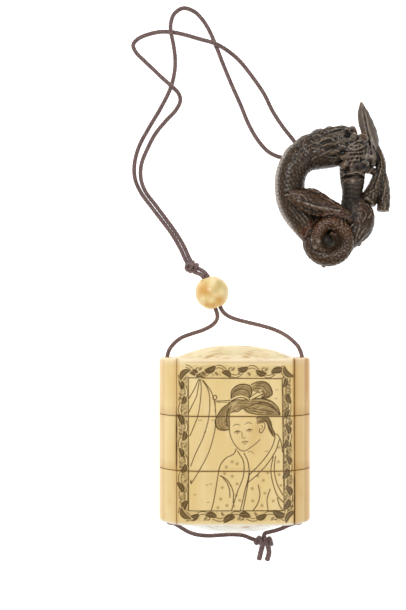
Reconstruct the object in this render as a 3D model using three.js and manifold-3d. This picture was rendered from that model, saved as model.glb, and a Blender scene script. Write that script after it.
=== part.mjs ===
// An inro case of bone plates with its bead, its carved dragon toggle and its silk cord, lying flat.
// Millimetres, +Z up. The origin is the centre of the case's back face, on the surface it lies on.
// +Y runs from the base of the case to its lid, and on to the toggle.
import * as THREE from 'three';
import { mergeVertices } from 'three/addons/utils/BufferGeometryUtils.js';
import Module from 'manifold-3d';

const wasm = await Module();
wasm.setup();

// Case: its oval section and its height between the two rims
const caseDepth = 25;
const caseHalfWidth = 30.3;
const caseFlatHalf = 14;
const rimHeight = 31.5;
const rimRounding = 1.1;
const rimInset = 1.5;
const midDepth = caseDepth / 2;

// Domed ends: an ellipsoid whose cap stands out of each end between the side blocks
const domeCentreHeight = 20;
const domeSemiAxes = [33.1, 17.5, 15.85];

// Tiers, plates and the gap left at every glued joint
const lidSeam = 10.24;
const baseSeam = -11.07;
const jointX = 23.1;
const jointGap = 0.3;
const cavityHalfWidth = 23.4;
const cavityHalfDepth = 9.5;
const cavityCorner = 6;
const innerHalfHeight = 29.3;
const floorThickness = 2;

// Collar that rises from one tier into the next, and the rebate that takes it
const collarHeight = 3.5;
const collarThickness = 1.25;
const collarClearance = 0.3;

// Cord and the ways made for it
const cordRadius = 0.9;
const channelX = 27.2;
const channelRadius = 1.4;
const boreClearance = 0.5;

// Bead: its bore lies in the ground plane, along beadAxis
const beadRadius = 6.9;
const beadBore = 2.3;
const beadCentre = new THREE.Vector3(-9.03, 58.62, 6.9);
const beadAxis = new THREE.Vector3(0.36, -0.933, 0).normalize();

// Knots: half sizes of their outer shapes
const upperKnotCentre = [-17.2, 69.2, 2.8];
const upperKnotHalf = [2.9, 2.75, 2.7];
const lowerKnotCentre = [12.2, -43.7, 2.35];
const lowerKnotHalf = [4.4, 2.2, 2.25];

const bone = { color: 0xe6d39a, roughness: 0.42, metalness: 0 };
const boneEnd = { color: 0xeee0b4, roughness: 0.4, metalness: 0 };
const beadBone = { color: 0xe3c98c, roughness: 0.35, metalness: 0 };
const carvedWood = { color: 0x3a2722, roughness: 0.45, metalness: 0 };
const silk = { color: 0x4a3234, roughness: 0.8, metalness: 0 };

// ---- Solids ----

// A closed three.js geometry becomes a manifold solid
function solid(geometry) {
  const bare = geometry.index ? geometry.toNonIndexed() : geometry.clone();
  bare.deleteAttribute('normal');
  bare.deleteAttribute('uv');
  const merged = mergeVertices(bare, 1e-4);
  const vertProperties = new Float32Array(merged.attributes.position.array);
  const triVerts = new Uint32Array(merged.index.array);
  return new wasm.Manifold(new wasm.Mesh({ numProp: 3, vertProperties, triVerts }));
}

// A manifold solid becomes a named mesh
function mesh(name, body, finish) {
  const data = body.getMesh();
  const geometry = new THREE.BufferGeometry();
  geometry.setAttribute('position', new THREE.BufferAttribute(data.vertProperties, 3));
  geometry.setIndex(new THREE.BufferAttribute(data.triVerts, 1));
  geometry.computeVertexNormals();
  const piece = new THREE.Mesh(geometry, new THREE.MeshStandardMaterial(finish));
  piece.name = name;
  return piece;
}

function block(low, high) {
  const size = high.map((value, axis) => value - low[axis]);
  const geometry = new THREE.BoxGeometry(...size);
  geometry.translate(...high.map((value, axis) => (value + low[axis]) / 2));
  return solid(geometry);
}

function ellipsoid(centre, half, around = 14, down = 9) {
  const geometry = new THREE.SphereGeometry(1, around, down);
  geometry.scale(...half);
  geometry.translate(...centre);
  return solid(geometry);
}

function unite(bodies) {
  return bodies.reduce((whole, body) => whole.add(body));
}

// A section drawn in x and depth becomes a prism along the height of the case
function prism(section, low, high, bevel = {}) {
  const options = { depth: high - low, bevelEnabled: false, curveSegments: 6, ...bevel };
  const geometry = new THREE.ExtrudeGeometry(section, options);
  geometry.rotateX(-Math.PI / 2);
  geometry.translate(0, low, midDepth);
  return solid(geometry);
}

// ---- Case ----

// Flattened oval: flat front and back with elliptical sides
function ovalSection() {
  const sideReach = caseHalfWidth - caseFlatHalf;
  const section = new THREE.Shape();
  section.moveTo(-caseFlatHalf, -midDepth);
  section.lineTo(caseFlatHalf, -midDepth);
  section.absellipse(caseFlatHalf, 0, sideReach, midDepth, -Math.PI / 2, Math.PI / 2);
  section.lineTo(-caseFlatHalf, midDepth);
  section.absellipse(-caseFlatHalf, 0, sideReach, midDepth, Math.PI / 2, Math.PI * 1.5);
  return section;
}

// The compartment's section, grown or shrunk by an offset
function cavitySection(offset = 0) {
  const x = cavityHalfWidth + offset;
  const y = cavityHalfDepth + offset;
  const r = cavityCorner + offset;
  const section = new THREE.Shape();
  section.moveTo(-x + r, -y);
  section.lineTo(x - r, -y);
  section.absarc(x - r, -y + r, r, -Math.PI / 2, 0);
  section.lineTo(x, y - r);
  section.absarc(x - r, y - r, r, 0, Math.PI / 2);
  section.lineTo(-x + r, y);
  section.absarc(-x + r, y - r, r, Math.PI / 2, Math.PI);
  section.lineTo(-x, -y + r);
  section.absarc(-x + r, -y + r, r, Math.PI, Math.PI * 1.5);
  return section;
}

function cavityPrism(low, high, offset = 0) {
  return prism(cavitySection(offset), low, high, { curveSegments: 2 });
}

// The whole case as one closed form: rounded rims and a dome on each end
function caseEnvelope() {
  const bevel = {
    bevelEnabled: true,
    bevelThickness: rimRounding,
    bevelSize: rimInset,
    bevelOffset: -rimInset,
    bevelSegments: 2,
  };
  const wall = prism(ovalSection(), -rimHeight, rimHeight, bevel);
  const domes = [1, -1].map((end) => {
    const [x, y, z] = domeSemiAxes;
    const dome = ellipsoid([0, end * domeCentreHeight, midDepth], [x, y, z], 24, 20);
    const reach = end * (domeCentreHeight + y + 1);
    const from = end * (innerHalfHeight - 1);
    const low = [-jointX, Math.min(from, reach), 0];
    const high = [jointX, Math.max(from, reach), caseDepth];
    return dome.intersect(block(low, high));
  });
  return wall.add(domes[0]).add(domes[1]);
}

// Both cord channels, through the whole height of the side blocks
function cordChannels() {
  return unite([-1, 1].map((side) => {
    const length = 2 * (rimHeight + rimRounding) + 4;
    const geometry = new THREE.CylinderGeometry(channelRadius, channelRadius, length, 12);
    geometry.translate(side * channelX, 0, midDepth);
    return solid(geometry);
  }));
}

const envelope = caseEnvelope();
const channels = cordChannels();
const beyond = rimHeight + 10;

// The wall of one tier, with the collar on its upper edge and the rebate in its lower one
function tierWall({ low, high, collar, rebate }) {
  const outside = block([-40, low, -1], [40, high, caseDepth + 1]).intersect(envelope);
  let wall = outside.subtract(cavityPrism(-beyond, beyond));
  if (collar) {
    const ring = cavityPrism(high - 1, high + collarHeight, collarThickness);
    wall = wall.add(ring.subtract(cavityPrism(-beyond, beyond)));
  }
  if (rebate) {
    const offset = collarThickness + collarClearance;
    const top = low + jointGap + collarHeight + collarClearance;
    wall = wall.subtract(cavityPrism(low - 1, top, offset));
  }
  return wall.subtract(channels);
}

// The wall is parted into the plates that it is glued up from
function tierPlates(tier) {
  const wall = tierWall(tier);
  const inner = jointX - jointGap / 2;
  const outer = jointX + jointGap / 2;
  const front = block([-inner, -beyond, midDepth], [inner, beyond, caseDepth + 1]);
  const back = block([-inner, -beyond, -1], [inner, beyond, midDepth]);
  const left = block([-40, -beyond, -1], [-outer, beyond, caseDepth + 1]);
  const right = block([outer, -beyond, -1], [40, beyond, caseDepth + 1]);
  return [
    mesh(`${tier.name}_front`, wall.intersect(front), bone),
    mesh(`${tier.name}_back`, wall.intersect(back), bone),
    mesh(`${tier.name}_side_left`, wall.intersect(left), bone),
    mesh(`${tier.name}_side_right`, wall.intersect(right), bone),
  ];
}

// The end plates fill the compartment's section and carry the middle of each dome
function endPlates() {
  const top = cavityPrism(innerHalfHeight, beyond, -jointGap).intersect(envelope);
  const base = cavityPrism(-beyond, -innerHalfHeight, -jointGap).intersect(envelope);
  return [mesh('lid_top', top, boneEnd), mesh('bottom_base', base, boneEnd)];
}

// The middle tier's floor stands just above the collar that comes up from the bottom tier
function middleFloor() {
  const low = baseSeam + collarHeight + 3 * collarClearance;
  const plate = cavityPrism(low, low + floorThickness, -jointGap);
  return mesh('middle_floor', plate, bone);
}

const tiers = [
  { name: 'lid', low: lidSeam + jointGap / 2, high: beyond, rebate: true },
  {
    name: 'middle',
    low: baseSeam + jointGap / 2,
    high: lidSeam - jointGap / 2,
    collar: true,
    rebate: true,
  },
  { name: 'bottom', low: -beyond, high: baseSeam - jointGap / 2, collar: true },
];

// ---- Bead ----

function bead() {
  const rows = 9;
  const bore = Math.asin(beadBore / beadRadius);
  const profile = [];
  for (let row = 0; row <= rows; row += 1) {
    const angle = bore + ((Math.PI - 2 * bore) * row) / rows;
    profile.push(new THREE.Vector2(beadRadius * Math.sin(angle), -beadRadius * Math.cos(angle)));
  }
  profile.push(profile[0].clone());
  const geometry = new THREE.LatheGeometry(profile, 18);
  const turn = new THREE.Quaternion();
  turn.setFromUnitVectors(new THREE.Vector3(0, 1, 0), beadAxis);
  geometry.applyQuaternion(turn);
  geometry.translate(beadCentre.x, beadCentre.y, beadCentre.z);
  return mesh('ojime_bead', solid(geometry), beadBone);
}

// ---- Cord ----

// The tube's rings stand at the route's own points
class RouteCurve extends THREE.CatmullRomCurve3 {
  getUtoTmapping(u) {
    return u;
  }
}

function cord(name, route) {
  const section = new THREE.Shape();
  section.absarc(0, 0, cordRadius, 0, Math.PI * 2);
  const path = new RouteCurve(route.map((place) => new THREE.Vector3(...place)));
  const options = { steps: route.length - 1, curveSegments: 4, extrudePath: path };
  return mesh(name, solid(new THREE.ExtrudeGeometry(section, options)), silk);
}

// Base knot, left channels, lid, bead, upper knot
const leftRoute = [
  [7.1, -42.8, 1.9], [4.2, -41.8, 1.2], [-0.6, -41.4, 0.95], [-6.1, -41.7, 0.95],
  [-10.7, -41.9, 0.95], [-14.8, -41.5, 1.1], [-18.0, -40.4, 1.9], [-20.8, -38.6, 3.2],
  [-23.1, -36.7, 4.9], [-24.8, -35.4, 6.9], [-25.9, -34.8, 9.0], [-26.6, -34.1, 10.9],
  [-27.0, -32.9, 12.1], [-27.2, -31.0, 12.5], [-27.2, -10.5, 12.5], [-27.2, 10.5, 12.5],
  [-27.2, 31.8, 12.5], [-26.7, 34.4, 11.9],
  [-26.0, 36.0, 10.9], [-24.2, 38.2, 8.8], [-21.5, 40.2, 6.2], [-17.5, 41.7, 3.7],
  [-12.6, 43.3, 2.3], [-8.9, 45.3, 2.5], [-7.0, 47.6, 4.2], [-6.9, 49.9, 6.1],
  [-7.5, 51.7, 6.85], [-8.7, 54.8, 6.9], [-11.3, 61.6, 6.9], [-12.5, 64.8, 6.9],
  [-13.3, 66.1, 6.2], [-14.3, 66.6, 5.0], [-15.1, 66.7, 3.9],
];

// Upper knot, bead, lid, right channels, base knot
const rightRoute = [
  [-13.9, 68.4, 3.9], [-12.9, 68.1, 5.0], [-11.6, 67.3, 6.2], [-10.5, 65.5, 6.9],
  [-9.3, 62.3, 6.9], [-6.7, 55.6, 6.9], [-5.5, 52.5, 6.9], [-4.5, 50.8, 6.3],
  [-2.6, 49.2, 4.8], [0.6, 47.8, 2.8], [5.4, 46.5, 1.5], [11.2, 45.1, 1.2],
  [16.5, 43.5, 2.2], [20.8, 41.4, 4.8], [24.0, 38.8, 8.0], [26.0, 36.3, 10.6],
  [27.2, 31.8, 12.5], [27.2, 10.5, 12.5], [27.2, -10.5, 12.5],
  [27.2, -31.0, 12.5], [27.0, -32.9, 12.1], [26.6, -34.1, 10.9], [25.9, -34.8, 9.1],
  [24.6, -35.3, 7.4], [22.3, -36.4, 6.0], [19.4, -38.0, 4.9], [17.0, -39.0, 4.2],
  [14.8, -39.7, 3.5], [12.7, -40.6, 2.8],
];

// Upper knot to the toggle, first strand: it lies over the second one at two crossings
const strandA = [
  [-18.1, 72.7, 1.9], [-20.6, 78.3, 1.0], [-24.1, 84.1, 0.95], [-28.3, 89.8, 0.95],
  [-32.5, 95.4, 0.95], [-36.5, 100.8, 0.95], [-38.4, 105.9, 0.95], [-38.2, 111.7, 0.95],
  [-35.5, 118.6, 0.95], [-32.4, 124.4, 0.95], [-28.1, 129.7, 0.95], [-23.8, 134.4, 0.95],
  [-22.1, 138.1, 1.2], [-22.9, 141.0, 2.2], [-26.0, 143.9, 3.3], [-29.6, 147.4, 1.9],
  [-33.4, 151.2, 0.95], [-37.4, 155.0, 0.95], [-40.5, 158.2, 0.95], [-41.6, 161.1, 0.95],
  [-39.6, 163.7, 0.95], [-34.5, 165.8, 0.95], [-30.0, 166.6, 0.95], [-26.0, 166.5, 0.95],
  [-21.0, 165.6, 0.95], [-14.4, 163.5, 1.7], [-7.4, 161.0, 3.3], [-1.7, 158.0, 1.8],
  [2.7, 154.3, 0.95], [7.2, 148.7, 0.95], [12.5, 141.0, 0.95], [16.2, 133.6, 0.95],
  [20.4, 127.2, 0.95], [24.4, 122.1, 1.15], [26.1, 119.4, 2.0], [27.4, 116.7, 3.1],
];

// Upper knot to the toggle, second strand
const strandB = [
  [-19.8, 71.6, 1.9], [-22.4, 77.1, 1.0], [-25.8, 82.9, 0.95], [-30.0, 88.6, 0.95],
  [-34.3, 94.2, 0.95], [-38.4, 99.8, 0.95], [-40.8, 105.6, 0.95], [-41.1, 111.7, 0.95],
  [-39.2, 119.1, 0.95], [-35.0, 127.0, 0.95], [-30.3, 134.9, 0.95], [-26.4, 142.7, 0.95],
  [-24.7, 148.7, 0.95], [-24.2, 154.5, 1.0], [-24.8, 160.3, 1.9], [-26.0, 166.4, 3.3],
  [-25.9, 170.5, 1.9], [-24.4, 174.3, 0.95], [-20.9, 176.4, 0.95], [-16.5, 175.1, 0.95],
  [-13.2, 172.0, 0.95], [-10.2, 167.3, 0.95], [-7.5, 161.2, 0.95], [-4.9, 154.5, 0.95],
  [-1.2, 145.5, 0.95], [3.0, 136.0, 0.95], [6.2, 128.3, 0.95], [9.9, 121.9, 0.95],
  [14.1, 117.2, 0.95], [18.2, 115.0, 1.15], [21.2, 114.3, 2.0], [24.2, 113.7, 3.1],
];

function lowerKnot() {
  const tails = [
    [[11.9, -45.0, 1.6], [11.2, -48.8, 1.05], [10.6, -52.2, 1.0]],
    [[13.6, -45.0, 1.6], [14.3, -48.8, 1.05], [14.1, -52.6, 1.0]],
  ];
  const knot = ellipsoid(lowerKnotCentre, lowerKnotHalf, 12, 8);
  const section = new THREE.Shape();
  section.absarc(0, 0, 1, 0, Math.PI * 2);
  const ends = tails.map((tail) => {
    const path = new RouteCurve(tail.map((place) => new THREE.Vector3(...place)));
    return solid(new THREE.ExtrudeGeometry(section, { steps: 2, curveSegments: 4, extrudePath: path }));
  });
  return mesh('knot_lower', unite([knot, ...ends]), silk);
}

// ---- Dragon toggle ----

// Rows of x, y, z, half width and half height become a centre line and the girth along it
function spineOf(rows) {
  return {
    line: new THREE.CatmullRomCurve3(rows.map((row) => new THREE.Vector3(...row.slice(0, 3)))),
    girth: new THREE.CatmullRomCurve3(rows.map((row) => new THREE.Vector3(row[3], row[4], 0))),
  };
}

// The directions across the limb and up out of it
function frameAt(spine, t) {
  const along = spine.line.getTangent(t);
  const across = new THREE.Vector3().crossVectors(along, new THREE.Vector3(0, 0, 1)).normalize();
  const rise = new THREE.Vector3().crossVectors(across, along);
  return { place: spine.line.getPoint(t), across, rise, half: spine.girth.getPoint(t) };
}

// A limb is a cylinder bent along its spine; swell(t) makes its width rise and fall
function limb(rows, sides, steps, swell = () => 1) {
  const spine = spineOf(rows);
  const geometry = new THREE.CylinderGeometry(1, 1, 1, sides, steps);
  const places = geometry.attributes.position;
  for (let index = 0; index < places.count; index += 1) {
    const t = places.getY(index) + 0.5;
    const { place, across, rise, half } = frameAt(spine, t);
    place.addScaledVector(across, places.getX(index) * half.x * swell(t));
    place.addScaledVector(rise, places.getZ(index) * half.y);
    places.setXYZ(index, place.x, place.y, place.z);
  }
  return solid(geometry);
}

// The body: neck behind the head, round the ring, then the tail's coil raised at the bottom
const neckAndRing = [
  [50.0, 120.6, 6.0, 6.0, 5.2], [45.0, 119.4, 6.4, 7.3, 6.2], [40.2, 118.1, 6.6, 8.2, 6.8],
  [36.4, 117.3, 6.6, 8.1, 6.9], [32.4, 116.2, 6.3, 7.5, 6.7], [28.2, 114.3, 6.1, 6.8, 6.4],
  [24.6, 110.4, 5.9, 6.3, 6.2], [22.9, 105.6, 5.8, 6.1, 6.1], [22.7, 101.2, 5.7, 6.0, 6.0],
  [23.0, 97.0, 5.6, 5.8, 5.9], [24.3, 93.2, 5.4, 5.7, 5.7], [26.4, 89.6, 5.2, 5.4, 5.4],
  [28.7, 86.3, 4.8, 5.0, 5.0],
];
const coilCentre = [38.6, 79.5];
const coilTurns = 1.75;
const coilStart = 165;
const coilReach = 6.7;
const coilGirth = 4.2;
const coilBase = 4.4;
const coilRise = 6.2;
const coilSink = 4;
const coilStretch = 0.2;

// The coil climbs over its first half turn, then winds inward and narrows to the tail's tip
function coilRows(count = 18) {
  const rows = [];
  for (let index = 0; index <= count; index += 1) {
    const part = index / count;
    const angle = THREE.MathUtils.degToRad(coilStart + part * coilTurns * 360);
    const climb = Math.sin(Math.min(1, part / 0.45) * Math.PI * 0.5);
    const inward = Math.max(0, part - 0.35) / 0.65;
    const reach = coilReach * (1 - 0.55 * inward);
    const tall = 1 + coilStretch * Math.max(0, Math.sin(angle));
    const height = coilBase + coilRise * climb - coilSink * inward;
    const girth = coilGirth * (1 - 0.66 * part ** 0.75);
    const x = coilCentre[0] + reach * Math.cos(angle);
    const y = coilCentre[1] + reach * tall * Math.sin(angle);
    rows.push([x, y, height, girth, girth]);
  }
  return rows;
}

const bodyRows = [...neckAndRing, ...coilRows()];
const bodySpine = spineOf(bodyRows);

// A lock of mane that lies on the body and narrows to a point. side is -1 on the ring's inner
// edge and 1 on its outer edge, and from and to are places along the body.
function bodyLock({ from, to, side, drift, width }) {
  const rows = [0, 0.35, 0.7, 1].map((part) => {
    const offset = side + drift * part;
    const { place, across, half } = frameAt(bodySpine, from + (to - from) * part);
    place.addScaledVector(across, half.x * offset * 0.94);
    const lift = half.y * Math.sqrt(Math.max(0, 1 - offset * offset)) * 0.96;
    const girth = width * (1 - 0.85 * part * part);
    return [place.x, place.y, place.z + lift, girth, girth * 0.8];
  });
  return limb(rows, 5, 4);
}

const maneLocks = [
  { from: 0.026, to: 0.131, side: 0.72, drift: 0.12, width: 1.7 },
  { from: 0.026, to: 0.148, side: 0.42, drift: -0.12, width: 1.9 },
  { from: 0.026, to: 0.122, side: 0.04, drift: -0.02, width: 2.0 },
  { from: 0.026, to: 0.131, side: -0.34, drift: -0.06, width: 1.9 },
  { from: 0.026, to: 0.105, side: -0.66, drift: -0.08, width: 1.6 },
];

const limbs = {
  foreleg: [
    [19.6, 99.4, 7.4, 1.4, 2.4], [23.6, 97.6, 9.4, 3.6, 3.2], [28.6, 95.8, 10.6, 4.8, 3.0],
    [33.8, 94.2, 10.6, 4.6, 2.8], [38.8, 92.4, 9.8, 3.8, 2.8], [43.8, 90.4, 8.6, 3.2, 2.8],
    [48.4, 88.4, 7.4, 3.0, 2.8],
  ],
  forelegFlame: [
    [27.4, 97.4, 11.2, 1.8, 1.4], [30.6, 98.9, 11.4, 1.8, 1.4], [35.2, 97.4, 10.6, 1.5, 1.3],
    [39.8, 95.2, 9.6, 0.5, 0.6],
  ],
  throat: [
    [48.2, 110.0, 6.8, 5.2, 4.6], [48.3, 104.4, 6.2, 4.9, 4.4], [48.3, 99.4, 5.8, 4.1, 4.0],
    [48.1, 95.0, 5.6, 4.3, 4.0], [49.2, 90.5, 5.6, 5.4, 4.6],
  ],
  haunch: [
    [48.6, 95.2, 5.6, 4.4, 4.2], [51.0, 91.0, 6.2, 5.6, 5.2], [51.6, 86.8, 6.2, 5.6, 5.4],
    [49.4, 82.8, 5.8, 4.8, 4.8], [46.4, 79.2, 4.6, 3.6, 3.8], [43.0, 76.0, 3.4, 2.4, 2.6],
  ],
  horn: [
    [52.1, 136.9, 4.6, 0.25, 0.4], [52.7, 132.9, 4.8, 2.0, 1.4], [53.5, 129.4, 5.2, 2.75, 1.8],
    [54.6, 126.0, 5.7, 3.05, 2.1], [55.7, 122.6, 6.1, 3.0, 2.4], [56.3, 118.6, 6.5, 2.7, 2.7],
    [56.5, 114.4, 6.7, 2.2, 2.8], [56.0, 110.4, 6.4, 1.6, 2.4],
  ],
  arm: [
    [56.8, 118.6, 6.0, 2.0, 2.4], [59.1, 115.0, 6.0, 1.7, 2.6], [60.1, 110.8, 5.8, 1.9, 2.8],
    [59.4, 106.0, 5.4, 2.7, 3.0], [57.8, 101.2, 5.0, 3.2, 3.4], [54.4, 95.6, 5.2, 3.6, 3.8],
  ],
  cheekBar: [
    [52.0, 110.6, 8.4, 1.7, 1.8], [56.0, 108.4, 6.6, 1.5, 1.8], [59.4, 107.2, 5.4, 1.4, 1.8],
  ],
  sleeve: [
    [60.4, 108.6, 5.4, 1.4, 2.2], [61.2, 103.4, 5.4, 2.1, 3.0], [61.4, 97.8, 5.2, 2.4, 3.4],
    [61.0, 92.0, 5.2, 2.5, 3.4],
  ],
};

// Tufts: short locks that point outward along the haunch, and the nub under the coil
function tuft([x, y, z, heading, length, width]) {
  const dx = Math.cos(THREE.MathUtils.degToRad(heading));
  const dy = Math.sin(THREE.MathUtils.degToRad(heading));
  const rows = [0, 0.45, 0.8, 1].map((part) => {
    const half = width * (1 - 0.82 * part * part);
    return [x + dx * length * part, y + dy * length * part, z, half, half];
  });
  return limb(rows, 5, 3);
}

const tufts = [
  [53.2, 88.4, 5.2, -44, 4.8, 2.2], [51.8, 84.6, 5.0, -44, 5.0, 2.1],
  [48.8, 81.2, 4.6, -46, 5.0, 2.0], [45.6, 78.2, 4.2, -50, 4.4, 1.9],
  [42.4, 75.2, 3.6, -60, 3.6, 1.8], [37.4, 71.8, 4.0, -104, 3.3, 1.4],
];

function dragonHead() {
  const skull = ellipsoid([48.4, 116.0, 9.6], [6.7, 5.6, 5.2], 11, 7);
  const snout = ellipsoid([48.5, 109.4, 9.4], [5.6, 4.8, 4.8], 11, 7);
  const nose = ellipsoid([48.5, 107.4, 12.2], [3.6, 1.9, 2.0], 8, 5);
  const chin = ellipsoid([48.4, 104.9, 8.6], [3.4, 1.9, 2.6], 8, 5);
  const brows = [44.6, 52.3].map((x) => ellipsoid([x, 113.0, 13.4], [2.7, 1.4, 1.7], 8, 6));
  const eyes = [45.0, 52.0].map((x) => ellipsoid([x, 110.9, 12.9], [1.4, 1.3, 1.3], 8, 6));
  const curls = [[43.6, 119.0], [47.4, 120.6], [51.4, 120.4]].map(([x, y]) => {
    return ellipsoid([x, y, 12.0], [2.4, 2.2, 2.0], 7, 4);
  });
  return [skull, snout, nose, chin, ...brows, ...eyes, ...curls];
}

// Low wood left between the foreleg and the coil, and inside the coil
function lowGround() {
  return [
    ellipsoid([31.6, 89.4, 3.6], [6.6, 5.4, 3.8], 8, 6),
    ellipsoid([41.0, 88.4, 3.4], [7.4, 3.6, 3.6], 8, 6),
    ellipsoid([38.6, 79.2, 3.2], [6.4, 6.4, 3.4], 8, 6),
  ];
}

// The cord's two bores follow its strands in from the outer edge of the neck
function cordBores() {
  const section = new THREE.Shape();
  section.absarc(0, 0, cordRadius + boreClearance, 0, Math.PI * 2);
  return unite([strandA, strandB].map((route) => {
    const places = route.slice(-5).map((place) => new THREE.Vector3(...place));
    const [beforeLast, last] = places.slice(-2);
    const onward = new THREE.Vector3().subVectors(last, beforeLast).normalize();
    places.push(last.clone().add(onward));
    const path = new RouteCurve(places);
    const options = { steps: places.length - 1, curveSegments: 5, extrudePath: path };
    return solid(new THREE.ExtrudeGeometry(section, options));
  }));
}

function dragonToggle() {
  const parts = [
    limb(bodyRows, 8, 42),
    limb(limbs.foreleg, 8, 10),
    limb(limbs.forelegFlame, 6, 5),
    limb(limbs.throat, 8, 6),
    limb(limbs.haunch, 8, 8),
    limb(limbs.horn, 6, 8),
    limb(limbs.arm, 8, 8),
    limb(limbs.cheekBar, 6, 4),
    limb(limbs.sleeve, 8, 5),
    ...dragonHead(),
    ...lowGround(),
    ...maneLocks.map(bodyLock),
    ...tufts.map(tuft),
  ];
  const below = block([0, 50, -20], [80, 150, 0]);
  const carving = unite(parts).subtract(below).subtract(cordBores());
  return mesh('dragon_netsuke', carving, carvedWood);
}

// ---- The whole part ----

const part = new THREE.Group();
part.add(...endPlates());
tiers.forEach((tier) => part.add(...tierPlates(tier)));
part.add(middleFloor());
part.add(bead());
part.add(dragonToggle());
part.add(cord('cord_left', leftRoute));
part.add(cord('cord_right', rightRoute));
part.add(cord('cord_netsuke_a', strandA));
part.add(cord('cord_netsuke_b', strandB));
part.add(mesh('knot_upper', ellipsoid(upperKnotCentre, upperKnotHalf, 10, 8), silk));
part.add(lowerKnot());

export default part;
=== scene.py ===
# Inro set lying flat: bone case, bead, carved dragon toggle and silk cord.
# Lengths are worked out in millimetres, in the frame of the CAD model, and stored in metres.
import math

import bpy
import numpy as np
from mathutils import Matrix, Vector, kdtree


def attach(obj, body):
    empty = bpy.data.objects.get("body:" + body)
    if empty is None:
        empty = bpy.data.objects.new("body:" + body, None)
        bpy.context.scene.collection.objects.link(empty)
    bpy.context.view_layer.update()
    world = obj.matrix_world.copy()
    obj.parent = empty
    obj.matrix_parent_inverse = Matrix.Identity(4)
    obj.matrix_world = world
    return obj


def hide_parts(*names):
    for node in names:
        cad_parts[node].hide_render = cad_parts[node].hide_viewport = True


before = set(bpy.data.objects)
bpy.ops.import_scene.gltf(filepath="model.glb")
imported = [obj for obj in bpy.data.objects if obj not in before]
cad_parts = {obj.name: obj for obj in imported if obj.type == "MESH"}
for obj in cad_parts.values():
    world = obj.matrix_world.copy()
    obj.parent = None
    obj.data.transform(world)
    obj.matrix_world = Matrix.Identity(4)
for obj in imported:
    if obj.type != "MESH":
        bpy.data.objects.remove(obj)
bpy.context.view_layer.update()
mm = 0.001


# camera, floor and light

cameraSetup = {
    "place": (-12.7, 53.56, 395.0),  # straight above the set
    "lens": 56.2,
    "sensor": 36.0,
}

studio = {
    "floorSize": 2.4,
    "floorColour": (0.9, 0.9, 0.9, 1.0),
    "floorGlow": 1.0,  # the set lies on a lit white table
    "worldStrength": 0.38,
    "keyPlace": (-0.30, 0.40, 0.80),
    "keySize": 0.3,
    "keyPower": 4.8,
    "fillPlace": (0.45, -0.20, 0.70),
    "fillSize": 0.4,
    "fillPower": 1.6,
}


def addCamera(setup):
    data = bpy.data.cameras.new("camera")
    data.lens = setup["lens"]
    data.sensor_width = setup["sensor"]
    data.clip_start = 0.01
    data.clip_end = 10.0
    camera = bpy.data.objects.new("camera", data)
    camera.location = Vector(setup["place"]) * mm
    bpy.context.scene.collection.objects.link(camera)
    bpy.context.scene.camera = camera


def addLamp(name, place, size, power):
    data = bpy.data.lights.new(name, "AREA")
    data.shape = "DISK"
    data.size = size
    data.energy = power
    lamp = bpy.data.objects.new(name, data)
    lamp.location = place
    towards = Vector((0.0, 0.05, 0.0)) - Vector(place)
    lamp.rotation_euler = towards.to_track_quat("-Z", "Y").to_euler()
    bpy.context.scene.collection.objects.link(lamp)


def addStudio(setup):
    scene = bpy.context.scene
    scene.view_settings.view_transform = "Standard"
    world = bpy.data.worlds.new("softbox")
    world.use_nodes = True
    background = world.node_tree.nodes["Background"]
    background.inputs["Color"].default_value = (1.0, 1.0, 1.0, 1.0)
    background.inputs["Strength"].default_value = setup["worldStrength"]
    scene.world = world
    half = setup["floorSize"] / 2
    corners = [(-half, -half, 0), (half, -half, 0), (half, half, 0), (-half, half, 0)]
    mesh = bpy.data.meshes.new("floor")
    mesh.from_pydata(corners, [], [(0, 1, 2, 3)])
    floor = bpy.data.objects.new("floor", mesh)
    scene.collection.objects.link(floor)
    material = bpy.data.materials.new("litTable")
    material.use_nodes = True
    shader = material.node_tree.nodes["Principled BSDF"]
    shader.inputs["Base Color"].default_value = setup["floorColour"]
    shader.inputs["Roughness"].default_value = 0.9
    shader.inputs["Emission Color"].default_value = (1.0, 1.0, 1.0, 1.0)
    shader.inputs["Emission Strength"].default_value = setup["floorGlow"]
    mesh.materials.append(material)
    addLamp("keyLamp", setup["keyPlace"], setup["keySize"], setup["keyPower"])
    addLamp("fillLamp", setup["fillPlace"], setup["fillSize"], setup["fillPower"])


addCamera(cameraSetup)
addStudio(studio)
print("camera, floor and lamps are in place")


# meshes


# faces is a list of index arrays, each with one row for a face; edges over the angle sharp stay
# sharp; fields are values stored at the points
def makePiece(name, points, faces, material, replaced, sharp, fields):
    mesh = bpy.data.meshes.new(name)
    points = np.asarray(points, float)
    mesh.vertices.add(len(points))
    mesh.vertices.foreach_set("co", (points * mm).ravel())
    sizes = np.concatenate([np.full(len(rows), len(rows[0])) for rows in faces])
    corners = np.concatenate([np.asarray(rows).ravel() for rows in faces])
    mesh.loops.add(len(corners))
    mesh.loops.foreach_set("vertex_index", corners.astype(np.int32))
    mesh.polygons.add(len(sizes))
    starts = np.concatenate(([0], np.cumsum(sizes)[:-1]))
    mesh.polygons.foreach_set("loop_start", starts.astype(np.int32))
    mesh.update(calc_edges=True)
    mesh.validate()
    mesh.polygons.foreach_set("use_smooth", np.ones(len(sizes), bool))
    mesh.set_sharp_from_angle(angle=math.radians(sharp))
    for key, values in fields.items():
        attribute = mesh.attributes.new(key, "FLOAT", "POINT")
        attribute.data.foreach_set("value", np.asarray(values, np.float32))
    mesh.materials.append(material)
    piece = bpy.data.objects.new(name, mesh)
    bpy.context.scene.collection.objects.link(piece)
    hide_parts(*replaced)
    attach(piece, "root")
    return piece


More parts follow.
